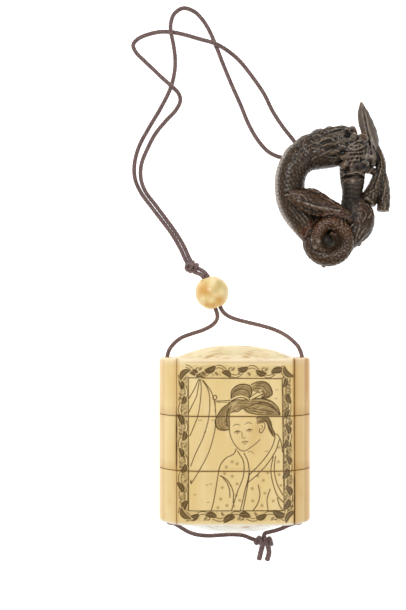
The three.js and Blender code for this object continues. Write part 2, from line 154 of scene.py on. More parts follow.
# quads between successive closed rings of the same length
def ringFaces(ringCount, ringSize, closed=False):
    rows = np.arange(ringCount if closed else ringCount - 1)[:, None]
    around = np.arange(ringSize)[None, :]
    following = (around + 1) % ringSize
    upper = (rows + 1) % ringCount
    corners = (rows, around), (rows, following), (upper, following), (upper, around)
    return np.stack([row * ringSize + place for row, place in corners], axis=-1).reshape(-1, 4)


# rings of points become a closed loft with a flat cap at each end
def loftFaces(ringCount, ringSize, flip=False):
    sides = ringFaces(ringCount, ringSize)
    start = np.arange(ringSize)[::-1][None, :]
    end = (np.arange(ringSize) + (ringCount - 1) * ringSize)[None, :]
    faces = [sides, start, end]
    return [rows[:, ::-1] for rows in faces] if flip else faces


# the same curve that the CAD source lays its cords on
def throughPoints(points, perSpan):
    points = np.asarray(points, float)
    held = np.vstack([2 * points[0] - points[1], points, 2 * points[-1] - points[-2]])
    t = np.linspace(0, 1, perSpan, endpoint=False)[:, None]
    curve = []
    for index in range(len(points) - 1):
        p0, p1, p2, p3 = held[index : index + 4]
        g0, g1, g2 = [max(1e-4, np.linalg.norm(b - a) ** 0.5) for a, b in ((p0, p1), (p1, p2), (p2, p3))]
        m1 = ((p1 - p0) / g0 - (p2 - p0) / (g0 + g1) + (p2 - p1) / g1) * g1
        m2 = ((p2 - p1) / g1 - (p3 - p1) / (g1 + g2) + (p3 - p2) / g2) * g1
        start, leaving = 2 * t**3 - 3 * t**2 + 1, t**3 - 2 * t**2 + t
        end, arriving = 3 * t**2 - 2 * t**3, t**3 - t**2
        curve.append(start * p1 + leaving * m1 + end * p2 + arriving * m2)
    curve.append(points[-1:])
    return np.vstack(curve)


def lengthsAlong(curve):
    return np.concatenate(([0], np.cumsum(np.linalg.norm(np.diff(curve, axis=0), axis=1))))


# the same curve with points a step apart
def evenly(curve, step):
    lengths = lengthsAlong(curve)
    count = max(2, int(round(lengths[-1] / step)) + 1)
    wanted = np.linspace(0, lengths[-1], count)
    return np.stack([np.interp(wanted, lengths, curve[:, axis]) for axis in range(curve.shape[1])], 1)


def unitRows(vectors):
    return vectors / np.linalg.norm(vectors, axis=1)[:, None]


def smoothstep(low, high, value):
    t = np.clip((value - low) / (high - low), 0, 1)
    return t * t * (3 - 2 * t)


# small waves that never line up, for shapes made by hand
def wander(place, size, seed):
    random = np.random.default_rng(seed)
    total = 0.0
    for octave in range(3):
        direction = random.normal(size=(4, place.shape[1]))
        direction /= np.linalg.norm(direction, axis=1)[:, None]
        phase = random.uniform(0, 2 * np.pi, 4)
        waves = np.sin(place @ direction.T * (2 * np.pi / size * 1.7**octave) + phase)
        total = total + waves.mean(axis=1) / 1.6**octave
    return total


# shader parts


def srgb(red, green, blue):
    values = np.array([red, green, blue]) / 255
    linear = np.where(values <= 0.04045, values / 12.92, ((values + 0.055) / 1.055) ** 2.4)
    return (*linear.tolist(), 1.0)


def startMaterial(name, values):
    material = bpy.data.materials.new(name)
    material.use_nodes = True
    shader = material.node_tree.nodes["Principled BSDF"]
    for key, value in values.items():
        shader.inputs[key].default_value = value
    return material, material.node_tree, shader


def startGroup(name, inputs, outputs):
    group = bpy.data.node_groups.new(name, "ShaderNodeTree")
    for label, value in inputs.items():
        socket = group.interface.new_socket(label, in_out="INPUT", socket_type="NodeSocketFloat")
        socket.default_value = value
    for label in outputs:
        group.interface.new_socket(label, in_out="OUTPUT", socket_type="NodeSocketFloat")
    return group, group.nodes.new("NodeGroupInput"), group.nodes.new("NodeGroupOutput")


def addNode(tree, kind, settings=None, values=None, links=None):
    node = tree.nodes.new(kind)
    for key, value in (settings or {}).items():
        setattr(node, key, value)
    for key, value in (values or {}).items():
        node.inputs[key].default_value = value
    for key, source in (links or {}).items():
        tree.links.new(source, node.inputs[key])
    return node


def fillSocket(tree, socket, value):
    if isinstance(value, (int, float, tuple)):
        socket.default_value = value
    else:
        tree.links.new(value, socket)


def mathNode(tree, operation, first, second, clamp=False):
    node = addNode(tree, "ShaderNodeMath", {"operation": operation, "use_clamp": clamp})
    fillSocket(tree, node.inputs[0], first)
    fillSocket(tree, node.inputs[1], second)
    return node.outputs[0]


def mixColours(tree, factor, first, second):
    node = addNode(tree, "ShaderNodeMix", {"data_type": "RGBA", "clamp_result": True})
    fillSocket(tree, node.inputs["Factor"], factor)
    colourInputs = [socket for socket in node.inputs if socket.type == "RGBA"]
    for socket, value in zip(colourInputs, (first, second)):
        fillSocket(tree, socket, value)
    return [socket for socket in node.outputs if socket.type == "RGBA"][0]


def objectPlace(tree):
    return addNode(tree, "ShaderNodeTexCoord").outputs["Object"]


def addNoise(tree, values, place, scale):
    links = {"Vector": place, "Scale": scale}
    return addNode(tree, "ShaderNodeTexNoise", values=values, links=links).outputs["Fac"]


# streaks along the height of the case, with a mask and a height
def grainGroup():
    group, source, sink = startGroup(
        "grain", {"Scale": 1.0, "Stretch": 0.08, "Contrast": 1.0}, ["Mask", "Height"]
    )
    place = objectPlace(group)
    squeeze = addNode(group, "ShaderNodeCombineXYZ", values={"X": 1.0, "Z": 1.0})
    group.links.new(source.outputs["Stretch"], squeeze.inputs["Y"])
    links = {0: place, 1: squeeze.outputs[0]}
    stretched = addNode(group, "ShaderNodeVectorMath", {"operation": "MULTIPLY"}, links=links)
    detail = {"Detail": 5.0, "Roughness": 0.62}
    noise = addNoise(group, detail, stretched.outputs[0], source.outputs["Scale"])
    centred = mathNode(group, "SUBTRACT", noise, 0.5)
    strong = mathNode(group, "MULTIPLY", centred, source.outputs["Contrast"])
    group.links.new(mathNode(group, "ADD", strong, 0.5, clamp=True), sink.inputs["Mask"])
    group.links.new(noise, sink.inputs["Height"])
    return group


# blotches of another tone, the same in every direction
def blotchGroup():
    group, source, sink = startGroup("blotches", {"Scale": 100.0, "Low": 0.4, "High": 0.6}, ["Mask"])
    detail = {"Detail": 4.0, "Roughness": 0.55}
    noise = addNoise(group, detail, objectPlace(group), source.outputs["Scale"])
    links = {"Value": noise, "From Min": source.outputs["Low"], "From Max": source.outputs["High"]}
    spread = addNode(group, "ShaderNodeMapRange", {"interpolation_type": "SMOOTHSTEP"}, links=links)
    group.links.new(spread.outputs[0], sink.inputs["Mask"])
    return group


# hollows hold dirt and painted shade, and raised edges are rubbed and carry a painted highlight; both come
# from a value stored at the points
def wearAndLightGroup():
    inputs = {"Relief": 0.0, "Breakup Scale": 600.0, "Dirt": 1.0, "RubAndHighlight": 1.0}
    group, source, sink = startGroup("wear and painted light", inputs, ["Dirt Mask", "RubAndHighlight Mask"])
    noise = addNoise(group, {"Detail": 3.0}, objectPlace(group), source.outputs["Breakup Scale"])
    uneven = mathNode(group, "ADD", mathNode(group, "MULTIPLY", noise, 0.8), 0.6)
    for strength, sign in (("Dirt", -1.0), ("RubAndHighlight", 1.0)):
        value = mathNode(group, "MULTIPLY", source.outputs["Relief"], sign)
        value = mathNode(group, "MULTIPLY", value, source.outputs[strength])
        value = mathNode(group, "MULTIPLY", value, uneven)
        group.links.new(mathNode(group, "ADD", value, 0.0, clamp=True), sink.inputs[strength + " Mask"])
    return group


grain = grainGroup()
blotches = blotchGroup()
wearAndLightTree = wearAndLightGroup()


def placeGroup(tree, group, values, links=None):
    return addNode(tree, "ShaderNodeGroup", {"node_tree": group}, values, links)


# a value that was stored at the points of a piece
def fieldNode(tree, name):
    return addNode(tree, "ShaderNodeAttribute", {"attribute_name": name}).outputs["Fac"]


# mixes in a colour by a mask and its strength; without a strength the mask works in full
def tint(tree, colour, mask, tone, strength=None):
    factor = mask if strength is None else mathNode(tree, "MULTIPLY", mask, strength)
    return mixColours(tree, factor, colour, tone)


def addBump(tree, shader, height, distance, strength):
    values = {"Distance": distance, "Strength": strength}
    bump = addNode(tree, "ShaderNodeBump", values=values, links={"Height": height})
    tree.links.new(bump.outputs[0], shader.inputs["Normal"])


boneFinish = {
    "pale": srgb(240, 218, 164),
    "honey": srgb(226, 196, 128),
    "stain": srgb(190, 140, 74),
    "ink": srgb(64, 42, 6),
    "sepia": srgb(142, 104, 40),
    # painted light where rims and edges turn towards the lit table
    "paintedTableLight": srgb(247, 242, 228),
    "streaks": {"Scale": 420.0, "Stretch": 0.1, "Contrast": 1.9},
    "broad": {"Scale": 90.0, "Stretch": 0.35, "Contrast": 2.6},
    "spots": {"Scale": 70.0, "Low": 0.56, "High": 0.78},
    "broadAmount": 0.75,
    "streakAmount": 0.16,
    "spotAmount": 0.22,
    # thin ink has gone sepia, and only full lines are still dark
    "sepiaAmount": 0.7,
    "inkPower": 2.1,
    "gloss": 0.3,
    "dullStreaks": 0.16,
    "poreDepth": 0.00006,
    "shader": {
        "Roughness": 0.4,
        "Specular IOR Level": 0.26,
        "Coat Roughness": 0.18,
        "Subsurface Weight": 0.08,
        "Subsurface Radius": (1.0, 0.8, 0.5),
        "Subsurface Scale": 0.001,
    },
}


# warmth moves the tone from pale towards honey
def boneMaterial(name, warmth, finish):
    material, tree, shader = startMaterial(name, finish["shader"])
    streaks = placeGroup(tree, grain, finish["streaks"])
    broad = placeGroup(tree, grain, finish["broad"])
    spots = placeGroup(tree, blotches, finish["spots"])
    broadTone = mathNode(tree, "MULTIPLY", broad.outputs["Mask"], finish["broadAmount"])
    colour = mixColours(tree, mathNode(tree, "ADD", broadTone, warmth), finish["pale"], finish["honey"])
    colour = tint(tree, colour, streaks.outputs["Mask"], finish["stain"], finish["streakAmount"])
    colour = tint(tree, colour, spots.outputs["Mask"], finish["stain"], finish["spotAmount"])
    # painted light from the lit table on the rims and outer edges
    colour = tint(tree, colour, fieldNode(tree, "paintedTableLight"), finish["paintedTableLight"])
    # stains and dirt, with painted shade at the seams and on the right block
    colour = tint(tree, colour, fieldNode(tree, "grimeAndShade"), finish["stain"])
    ink = fieldNode(tree, "ink")
    colour = tint(tree, colour, ink, finish["sepia"], finish["sepiaAmount"])
    colour = tint(tree, colour, mathNode(tree, "POWER", ink, finish["inkPower"]), finish["ink"])
    tree.links.new(colour, shader.inputs["Base Color"])
    dull = mathNode(tree, "MULTIPLY", streaks.outputs["Mask"], finish["dullStreaks"])
    tree.links.new(mathNode(tree, "ADD", dull, finish["gloss"]), shader.inputs["Roughness"])
    addBump(tree, shader, streaks.outputs["Height"], finish["poreDepth"], 0.5)
    return material


def withTones(finish, pale, honey, stain):
    return {**finish, "pale": srgb(*pale), "honey": srgb(*honey), "stain": srgb(*stain)}


plateBone = boneMaterial("plateBone", 0.1, boneFinish)
sideBone = boneMaterial("sideBone", 0.0, boneFinish)
endFinish = withTones(boneFinish, (240, 226, 186), (230, 208, 152), (180, 146, 92))
endBone = boneMaterial("endBone", -0.1, endFinish)
# the bottom end is lit less, so its bone is a paler copy, painted lighter to make up for it
basePaintedLightFinish = withTones(boneFinish, (253, 250, 240), (249, 243, 226), (176, 168, 150))
basePaintedLightBone = boneMaterial("basePaintedLightBone", -0.1, basePaintedLightFinish)
print("bone is mixed")


# engraving

engraving = {
    "step": 0.15,
    "halfSize": (23.1, 33.0),
    "fine": 0.26,
    "line": 0.36,
    "bold": 0.5,
    "depth": 0.13,
    "edge": (0.11, 0.06),  # how far a line's edge fades outside and inside
    "waver": 0.048,
    "frame": [(-18.4, 25.2), (18.1, 24.9), (18.9, -26.4), (-18.3, -26.5)],
    # each band of the border: its two corners, width, leaves, their length, and the tone of its ground
    "bands": [
        (0, 1, 5.3, 6, 4.9, 0.16), (1, 2, 3.7, 9, 4.3, 0.66),
        (2, 3, 4.3, 6, 5.2, 0.2), (3, 0, 4.2, 8, 4.4, 0.5),
    ],
}

canvasStep = engraving["step"]
canvasX, canvasY = [np.arange(-half, half + canvasStep / 2, canvasStep) for half in engraving["halfSize"]]
canvas = np.zeros((len(canvasY), len(canvasX)))


def canvasWindow(low, high):
    columns = slice(*np.searchsorted(canvasX, (low[0], high[0])))
    rows = slice(*np.searchsorted(canvasY, (low[1], high[1])))
    x, y = np.meshgrid(canvasX[columns], canvasY[rows])
    return rows, columns, x, y


# ink darkens; a negative strength scrapes the ground clean again
def addInk(rows, columns, mask, strength):
    if strength >= 0:
        canvas[rows, columns] = np.maximum(canvas[rows, columns], mask * strength)
    else:
        canvas[rows, columns] = np.minimum(canvas[rows, columns], 1 + mask * strength)


# a cut line; its ends run out to nothing where taper is above 0
def cutLine(points, width, dark, taper=0.0):
    curve = evenly(throughPoints(points, 12), 0.35)
    outside, inside = engraving["edge"]
    count = len(curve)
    for index in range(count - 1):
        a, b = curve[index], curve[index + 1]
        part = (index + 0.5) / (count - 1)
        half = width / 2 * min(1.0, (0.25 + min(part, 1 - part) / taper) if taper else 1.0)
        reach = half + canvasStep
        rows, columns, x, y = canvasWindow(np.minimum(a, b) - reach, np.maximum(a, b) + reach)
        if x.size == 0:
            continue
        span = b - a
        t = np.clip(((x - a[0]) * span[0] + (y - a[1]) * span[1]) / max(1e-9, span @ span), 0, 1)
        distance = np.hypot(x - a[0] - t * span[0], y - a[1] - t * span[1])
        addInk(rows, columns, smoothstep(half + outside, half - inside, distance), dark)


# a filled drop that bends to one side; it keeps a pale rim on a toned ground and a pale vein
def cutLeaf(place, heading, length, width, bend, dark, rim=0.0):
    reach = length * 0.75 + rim
    rows, columns, x, y = canvasWindow(np.array(place) - reach, np.array(place) + reach)
    if x.size == 0:
        return
    angle = math.radians(heading)
    x, y = x - place[0], y - place[1]
    along = (x * math.cos(angle) + y * math.sin(angle)) / (length / 2)
    across = -x * math.sin(angle) + y * math.cos(angle) - bend * along**2
    part = np.clip((along + 1) / 2, 0, 1)
    half = width / 2 * 1.94 * np.sqrt(part) * (1 - part) ** 0.6
    edge = np.abs(across) - half
    if rim:
        around = smoothstep(rim + 0.1, rim - 0.1, edge) * smoothstep(1.25, 1.1, np.abs(along))
        addInk(rows, columns, around, -0.85)
    inside = smoothstep(0.12, -0.08, edge) * smoothstep(1.05, 0.95, np.abs(along))
    hatch = 0.9 + 0.1 * np.sin(across * 8.5 + along * 4.0)
    vein = smoothstep(0.0, 0.14, np.abs(across)) * 0.3 + 0.7
    addInk(rows, columns, inside * vein * hatch, dark)


# lines that fill the space between two edges, each a little uneven
def hatchBetween(first, second, count, width, dark, seed):
    random = np.random.default_rng(seed)
    stations = np.linspace(0, 1, 9)
    edges = []
    for edge in (first, second):
        line = evenly(throughPoints(edge, 10), 0.5)
        travelled = np.linspace(0, 1, len(line))
        edges.append(np.stack([np.interp(stations, travelled, line[:, axis]) for axis in (0, 1)], 1))
    for index in range(count):
        part = (index + 0.5 + random.uniform(-0.3, 0.3)) / count
        line = edges[0] * (1 - part) + edges[1] * part
        line += random.normal(0, engraving["waver"], line.shape)
        start, end = random.integers(0, 2), len(stations) - random.integers(0, 2)
        cutLine(line[start:end], width, dark * random.uniform(0.7, 1.0), 0.15)


# an uneven tone over an area, for massed hair and for the ground of the border
def shadeArea(outline, dark, unevenness):
    edge = evenly(throughPoints([*outline, outline[0]], 8), 0.4)
    rows, columns, x, y = canvasWindow(edge.min(axis=0), edge.max(axis=0))
    inside = np.zeros(x.shape, bool)
    for a, b in zip(edge, np.roll(edge, -1, axis=0)):
        crosses = (a[1] > y) != (b[1] > y)
        slope = (b[0] - a[0]) / (b[1] - a[1] if b[1] != a[1] else 1e-9)
        inside ^= crosses & (x < a[0] + slope * (y - a[1]))
    patches = wander(np.stack([x.ravel(), y.ravel()], 1), 2.4, 31).reshape(x.shape)
    addInk(rows, columns, inside * np.clip(1 + unevenness * patches, 0, 1.6), dark)


scroll = {
    "ragged": 0.22,  # how far the ground's outer edge strays
    "dashes": 1.4,  # in each millimetre of a full ground
    "stemWidth": 0.9,
    "leafJitter": 0.3,
    "leafRim": 0.26,
    "curlReach": (1.1, 0.9),
}


# a stem that winds along the band with a leaf in every bend
def scrollBand(start, end, width, leaves, leafLength, ground, seed):
    random = np.random.default_rng(seed)
    length = np.linalg.norm(end - start)
    along = (end - start) / length
    outward = np.array([-along[1], along[0]])
    heading = math.degrees(math.atan2(along[1], along[0]))
    spacing = length / leaves
    half = width / 2

    def at(distance, offset):
        return start + distance * along + offset * outward

    stations = np.linspace(0, length, 5 * leaves + 1)
    ragged = random.normal(0, scroll["ragged"], len(stations))
    outer = [at(s, half - 0.35 + r) for s, r in zip(stations, ragged)]
    inner = [at(s, -half + 0.25) for s in stations[::-1]]
    shadeArea([*outer, *inner], ground, 0.7)
    for _ in range(int(length * scroll["dashes"] * ground)):
        s, offset = random.uniform(0, length), random.uniform(-half + 0.4, half - 0.6)
        lean = random.uniform(-0.8, 0.8)
        dash = [at(s, offset), at(s + 0.5, offset + lean / 2), at(s + 0.9, offset + lean)]
        cutLine(dash, engraving["fine"], 0.8, 0.3)
    swing = (half - 0.75) * np.cos(np.pi * stations / spacing)
    stem = [at(s, offset) for s, offset in zip(stations, swing)]
    cutLine(stem, scroll["stemWidth"], -0.95)
    for shift in (-0.5, 0.5):
        cutLine([place + shift * outward for place in stem], engraving["line"], 0.85)
    for index in range(leaves):
        side = 1 if index % 2 else -1
        centre = (index + 0.5) * spacing + random.uniform(-scroll["leafJitter"], scroll["leafJitter"])
        sway = side * random.uniform(0.35, 0.75)
        size = leafLength * random.uniform(0.85, 1.12)
        turn = heading + side * random.uniform(8, 34) + (180 if random.random() < 0.35 else 0)
        cutLeaf(at(centre, sway), turn, size, 0.58 * size, 0.6 * side, 1.0, scroll["leafRim"])
        curl = []
        for angle in np.linspace(0.3, 4.6, 7):
            shrink = 1 - angle / 8
            distance = centre - side * 1.2 + scroll["curlReach"][0] * math.cos(angle) * shrink
            curl.append(at(distance, -sway + scroll["curlReach"][1] * math.sin(angle) * shrink))
        cutLine(curl, engraving["line"], 0.9, 0.2)
        bud = at(centre + spacing * 0.36, -0.9 * side)
        cutLeaf(bud, heading - 50 * side, 1.9, 1.1, -0.25 * side, 0.85, 0.2)


def engraveBorder():
    corners = [np.array(corner) for corner in engraving["frame"]]
    for index, (first, last, width, *leafSetup) in enumerate(engraving["bands"]):
        a, b = corners[first], corners[last]
        way = (b - a) / np.linalg.norm(b - a)
        shift = np.array([-way[1], way[0]]) * width / 2
        scrollBand(a + shift - way, b + shift + way, width, *leafSetup, 40 + index)
    for corner, following in zip(corners, np.roll(corners, -1, axis=0)):
        cutLine([corner, (corner + following) / 2, following], engraving["line"], 0.95)
        # the big leaf that turns each corner
        outward = np.sign(corner)
        turn = outward[0] * outward[1]
        cutLeaf(corner + outward * 1.9, -45 * turn, 6.0, 2.5, 1.2 * turn, 0.97, 0.3)


def engraveCurtain():
    line = engraving["line"]
    falls = [
        [(-14.4, 24.7), (-16.2, 20.6), (-18.2, 17.2)],
        [(-14.0, 24.7), (-14.6, 21.4), (-15.2, 18.2), (-17.5, 13.3), (-18.3, 11.6)],
        [(-13.6, 24.7), (-13.4, 20.6), (-13.8, 15.7), (-14.6, 10.8), (-16.0, 6.9), (-17.8, 2.6)],
        [(-12.9, 24.3), (-10.9, 21.0), (-10.1, 17.3), (-10.3, 11.2), (-11.1, 6.9), (-13.0, 1.2),
         (-15.8, -4.7), (-17.5, -9.2)],
        [(-12.7, 24.3), (-9.7, 20.2), (-8.4, 16.5), (-7.7, 10.8), (-8.0, 5.6), (-9.2, 0.2),
         (-10.9, -4.7), (-14.2, -10.9), (-17.3, -15.9)],
    ]
    for fall in falls:
        cutLine(fall, line, 0.9)
    cutLine([(-17.3, -14.6), (-17.5, -15.5), (-17.2, -16.0)], engraving["bold"], 0.9, 0.3)
    # the knot that gathers it, over the border
    cutLeaf((-13.8, 26.2), 20, 3.4, 2.0, 0.3, 0.97, 0.3)
    cutLeaf((-12.4, 26.9), -40, 2.4, 1.4, -0.3, 0.97, 0.2)
    for reach in (-1.5, 1.7):
        bow = [(-13.8, 25.9), (-13.8 + reach / 2, 25.4), (-13.8 + reach, 25.6)]
        cutLine(bow, engraving["bold"], 0.95, 0.3)


hair = {
    "leftLock": [
        (-2.3, 15.4), (-5.0, 13.6), (-7.0, 10.8), (-8.0, 7.8),
        (-7.0, 5.5), (-4.6, 4.8), (-2.4, 5.2),
    ],
    "leftInner": [
        (-1.6, 14.4), (-2.0, 13.4), (-2.3, 11.9), (-2.4, 10.2),
        (-2.4, 8.4), (-2.4, 6.8), (-2.4, 5.2),
    ],
    "crown": [
        (-2.6, 15.6), (0.6, 16.7), (3.4, 16.6), (6.4, 17.0),
        (9.6, 17.2), (13.4, 16.4), (16.2, 14.0), (17.4, 11.0),
    ],
    "brow": [
        (-2.0, 11.6), (-0.4, 12.3), (0.8, 12.1), (2.8, 13.4),
        (4.0, 12.2), (6.0, 11.4), (9.6, 10.9), (17.2, 10.8),
    ],
    "lobe": [(6.2, 14.6), (9.4, 15.6), (12.8, 15.0), (15.4, 13.2), (17.2, 11.0)],
    "ear": [(8.0, 9.6), (10.4, 10.2), (12.6, 9.8), (13.6, 8.2), (14.2, 5.8), (15.2, 3.4), (14.9, 2.4)],
    "earInner": [
        (8.4, 7.0), (9.4, 7.8), (10.6, 8.2), (11.8, 7.8),
        (12.4, 6.2), (13.0, 4.6), (14.3, 2.6),
    ],
    "leftBun": [
        (-1.8, 17.2), (-1.6, 20.0), (0.1, 22.0), (3.0, 22.8),
        (5.6, 22.0), (6.3, 19.6), (5.2, 17.3),
    ],
    "leftBase": [
        (-1.2, 16.9), (0.2, 17.6), (1.6, 18.0), (2.8, 18.1),
        (3.8, 17.9), (4.6, 17.5), (5.0, 17.2),
    ],
    "rightBun": [
        (6.0, 22.6), (8.6, 23.7), (12.0, 23.4), (13.8, 21.2),
        (14.2, 18.9), (12.4, 17.5), (10.0, 17.6),
    ],
    "rightBase": [
        (6.4, 20.4), (7.4, 20.0), (8.6, 19.6), (9.4, 19.2),
        (10.0, 18.7), (10.2, 18.2), (9.8, 17.8),
    ],
}


def engraveHair():
    line, fine = engraving["line"], engraving["fine"]
    masses = [
        ("leftLock", "leftInner", 13), ("crown", "brow", 11), ("lobe", "brow", 6),
        ("ear", "earInner", 7), ("leftBun", "leftBase", 12), ("rightBun", "rightBase", 12),
    ]
    for index, (outer, inner, count) in enumerate(masses):
        shadeArea([*hair[outer], *hair[inner][::-1]], 0.5, 0.5)
        hatchBetween(hair[outer], hair[inner], count, fine, 1.0, 11 + index)
        cutLine(hair[outer], line, 1.0)
    cutLine(hair["brow"], line, 0.9)
    cutLine(hair["leftInner"], line, 0.8)
    # the pale band under the left bun, and the comb between the buns
    cutLine([(-1.6, 16.7), (0.8, 17.9), (3.0, 18.0), (4.9, 17.0)], 0.55, -0.95)
    cutLine([(-1.6, 16.3), (0.8, 17.4), (3.0, 17.5), (4.9, 16.5)], line, 1.0)
    cutLine([(5.2, 17.3), (7.2, 18.8), (9.8, 20.4)], line, 0.95)
    cutLine([(5.8, 16.9), (7.8, 18.2), (10.2, 19.4)], 0.4, -0.9)
    cutLine([(6.2, 16.6), (8.2, 17.8), (10.6, 18.9)], line, 0.95)
    cutLeaf((9.6, 20.4), 20, 1.6, 0.8, 0.0, -0.9)
    # the pin with its ring
    turns = np.linspace(0, 2 * np.pi, 9)
    cutLine([(-8.1 + 0.8 * math.cos(a), 17.6 + 0.85 * math.sin(a)) for a in turns], line, 0.95)
    cutLine([(-8.0, 16.6), (-7.9, 15.2), (-8.0, 12.2)], fine, 0.85)
    cutLine([(-7.5, 16.2), (-4.6, 16.3), (-2.1, 16.5)], line, 0.95)
    cutLine([(-7.3, 15.7), (-4.6, 15.7), (-2.4, 15.7)], fine, 0.8)


def engraveHead():
    line, fine = engraving["line"], engraving["fine"]
    tilt = math.radians(8)
    lean = np.array([[math.cos(tilt), math.sin(tilt)], [-math.sin(tilt), math.cos(tilt)]])

    # features are placed from the middle of the face, across and up, then tilted with the head
    def onFace(*points):
        return np.array(points) @ lean + [3.0, 4.4]

    outline = [(-2.3, 8.2), (-2.5, 5.6), (-1.9, 2.4), (-0.4, -0.6), (1.6, -2.7), (3.4, -3.2),
               (5.6, -2.0), (8.0, -0.2), (9.4, 1.2)]
    cutLine(outline, line, 0.85)
    for eye in (-2.35, 2.35):
        cutLine(onFace((eye - 1.3, 0.0), (eye, 0.55), (eye + 1.3, 0.0)), line, 1.0, 0.3)
        cutLine(onFace((eye - 0.9, -0.2), (eye, -0.45), (eye + 0.9, -0.2)), fine, 0.6, 0.3)
        cutLeaf(onFace((eye, 0.05))[0], 90, 0.8, 0.6, 0.0, 0.9)
        cutLine(onFace((eye - 1.5, 2.5), (eye, 3.15), (eye + 1.5, 2.5)), line, 0.75, 0.35)
    nose = onFace((-0.5, 0.2), (-0.7, -1.4), (-0.8, -2.2), (-0.1, -2.6), (0.6, -2.3))
    cutLine(nose, fine, 0.85, 0.3)
    mouth = onFace((-1.3, -4.2), (-0.5, -3.95), (0.0, -4.1), (0.5, -3.95), (1.3, -4.2))
    cutLine(mouth, line, 0.9, 0.25)
    cutLine(onFace((-0.8, -4.5), (0.0, -4.95), (0.8, -4.5)), fine, 0.8, 0.3)
    ear = [(9.4, 7.6), (10.6, 8.0), (11.4, 7.0), (11.0, 5.2), (9.9, 3.8), (9.2, 4.4), (9.4, 5.4)]
    cutLine(ear, line, 0.9)
    cutLine([(10.0, 6.9), (10.5, 6.2), (10.1, 5.2)], fine, 0.8)
    neck = [(4.4, -3.6), (6.0, -3.4), (7.2, -4.4)]
    cutLine(neck, fine, 0.75, 0.3)


def engraveRobe():
    folds = [
        # left shoulder and sleeve
        [(0.2, -2.4), (-0.7, -4.3), (-3.8, -6.0), (-6.0, -8.9), (-6.9, -12.8), (-7.8, -18.5),
         (-8.9, -24.2), (-9.5, -26.3)],
        [(-6.1, -12.8), (-3.8, -14.0), (-1.8, -16.8), (-0.9, -19.6), (-1.0, -23.3)],
        [(-5.5, -12.9), (-3.3, -15.7), (-2.4, -18.5), (-2.2, -21.3)],
        # the collar that lies on top
        [(0.7, -3.2), (3.0, -7.2), (3.0, -12.8), (0.7, -19.1), (-1.6, -26.2)],
        [(3.3, -4.1), (4.7, -7.2), (5.2, -11.7), (3.5, -19.1), (1.8, -26.4)],
        [(5.4, -11.8), (4.2, -19.1), (2.8, -26.4)],
        # the collar beneath it, from the other shoulder
        [(15.4, 2.4), (14.2, -1.5), (11.2, -6.2), (7.6, -10.2), (5.2, -12.6)],
        [(17.0, 1.2), (15.4, -3.4), (12.0, -8.6), (8.2, -12.6), (4.9, -15.4)],
        # right shoulder, sleeve and folds
        [(15.2, 3.2), (15.9, 3.4), (17.2, 1.6), (17.9, -1.0), (18.2, -3.6)],
        [(14.6, -5.5), (13.7, -10.6), (14.6, -16.2), (16.4, -20.8), (18.6, -23.2)],
        [(15.5, -5.2), (15.0, -10.6), (16.2, -16.2), (18.4, -20.4)],
        [(13.4, -18.0), (12.2, -22.0), (12.6, -26.4)],
        [(8.8, -16.4), (9.4, -20.2), (8.6, -23.6), (6.8, -26.3)],
        [(16.2, -21.4), (17.0, -24.2), (18.2, -26.2)],
    ]
    for fold in folds:
        cutLine(fold, engraving["line"], 0.95)
    flowers = [
        (-1.4, -7.4), (-3.6, -9.4), (0.6, -8.2), (-1.3, -13.0), (0.6, -16.0), (-4.3, -12.0),
        (-5.2, -17.4), (0.2, -20.4), (-5.8, -21.9), (-3.4, -24.4), (-0.8, -24.6), (-6.9, -25.2),
        (1.6, -22.4), (6.4, -17.8), (10.8, -14.6), (6.6, -22.6), (11.4, -19.6), (10.2, -24.4),
        (8.6, -12.9), (16.8, -1.8), (16.6, -7.4), (16.9, -12.4), (17.6, -16.6), (12.4, -11.6),
        (14.6, -22.6),
    ]
    for x, y in flowers:
        for petal in range(5):
            angle = petal * 2 * np.pi / 5 + x
            cutLeaf((x + 0.42 * math.cos(angle), y + 0.42 * math.sin(angle)), 0, 0.7, 0.56, 0.0, 0.55)
        cutLeaf((x, y), 0, 0.55, 0.45, 0.0, 0.85)


# short strokes that stray over the bare ground: x, y, length
def engraveDashes():
    dashes = [
        (-11.6, -16.4, 0.8), (-10.2, -16.0, 1.0), (-14.6, 8.8, 1.4), (15.2, 17.2, 0.9), (-9.4, 8.8, 1.2),
        (-12.4, 4.2, 1.0), (-16.2, -20.2, 0.9), (-11.2, -23.2, 0.8), (15.6, 20.6, 0.7), (11.2, -3.2, 1.4),
    ]
    for x, y, length in dashes:
        cutLine([(x, y), (x + length / 2, y - 0.12), (x + length, y + 0.08)], engraving["fine"], 0.7)


engraveBorder()
engraveCurtain()
engraveHair()
engraveHead()
engraveRobe()
engraveDashes()
print("engraving is drawn")


def inkAt(x, y):
    column = np.clip((x - canvasX[0]) / canvasStep, 0, len(canvasX) - 1.001)
    row = np.clip((y - canvasY[0]) / canvasStep, 0, len(canvasY) - 1.001)
    c, r = column.astype(int), row.astype(int)
    u, v = column - c, row - r
    lower = canvas[r, c] * (1 - u) + canvas[r, c + 1] * u
    upper = canvas[r + 1, c] * (1 - u) + canvas[r + 1, c + 1] * u
    return lower * (1 - v) + upper * v


# case

case = {
    "halfDepth": 12.5,
    "flatHalf": 14.0,
    "sideReach": 16.3,
    "rimHeight": 31.5,
    "rimRounding": 1.1,
    "rimInset": 1.5,
    "domeCentre": 20.0,
    "domeHalf": (33.1, 17.5, 15.85),
    "lidSeam": 10.24,
    "baseSeam": -11.07,
    "seamGap": 0.16,
    "jointX": 23.1,
    "jointGap": 0.07,
    "cavityHalfWidth": 23.4,
    "cavityHalfDepth": 9.5,
    "cavityCorner": 6.0,
    "innerHalfHeight": 29.3,
    "collarHeight": 3.5,
    "collarThickness": 1.25,
    "collarClearance": 0.3,
    "arris": 0.14,
    "channelX": 27.2,
    "channelRadius": 1.4,
}


# height of the outer face above the middle plane, with the section shrunk by an inset
def outerHeight(x, inset=0.0):
    beyond = np.clip((np.abs(x) - case["flatHalf"]) / (case["sideReach"] - inset), 0, 1)
    return (case["halfDepth"] - inset) * np.sqrt(1 - beyond**2)


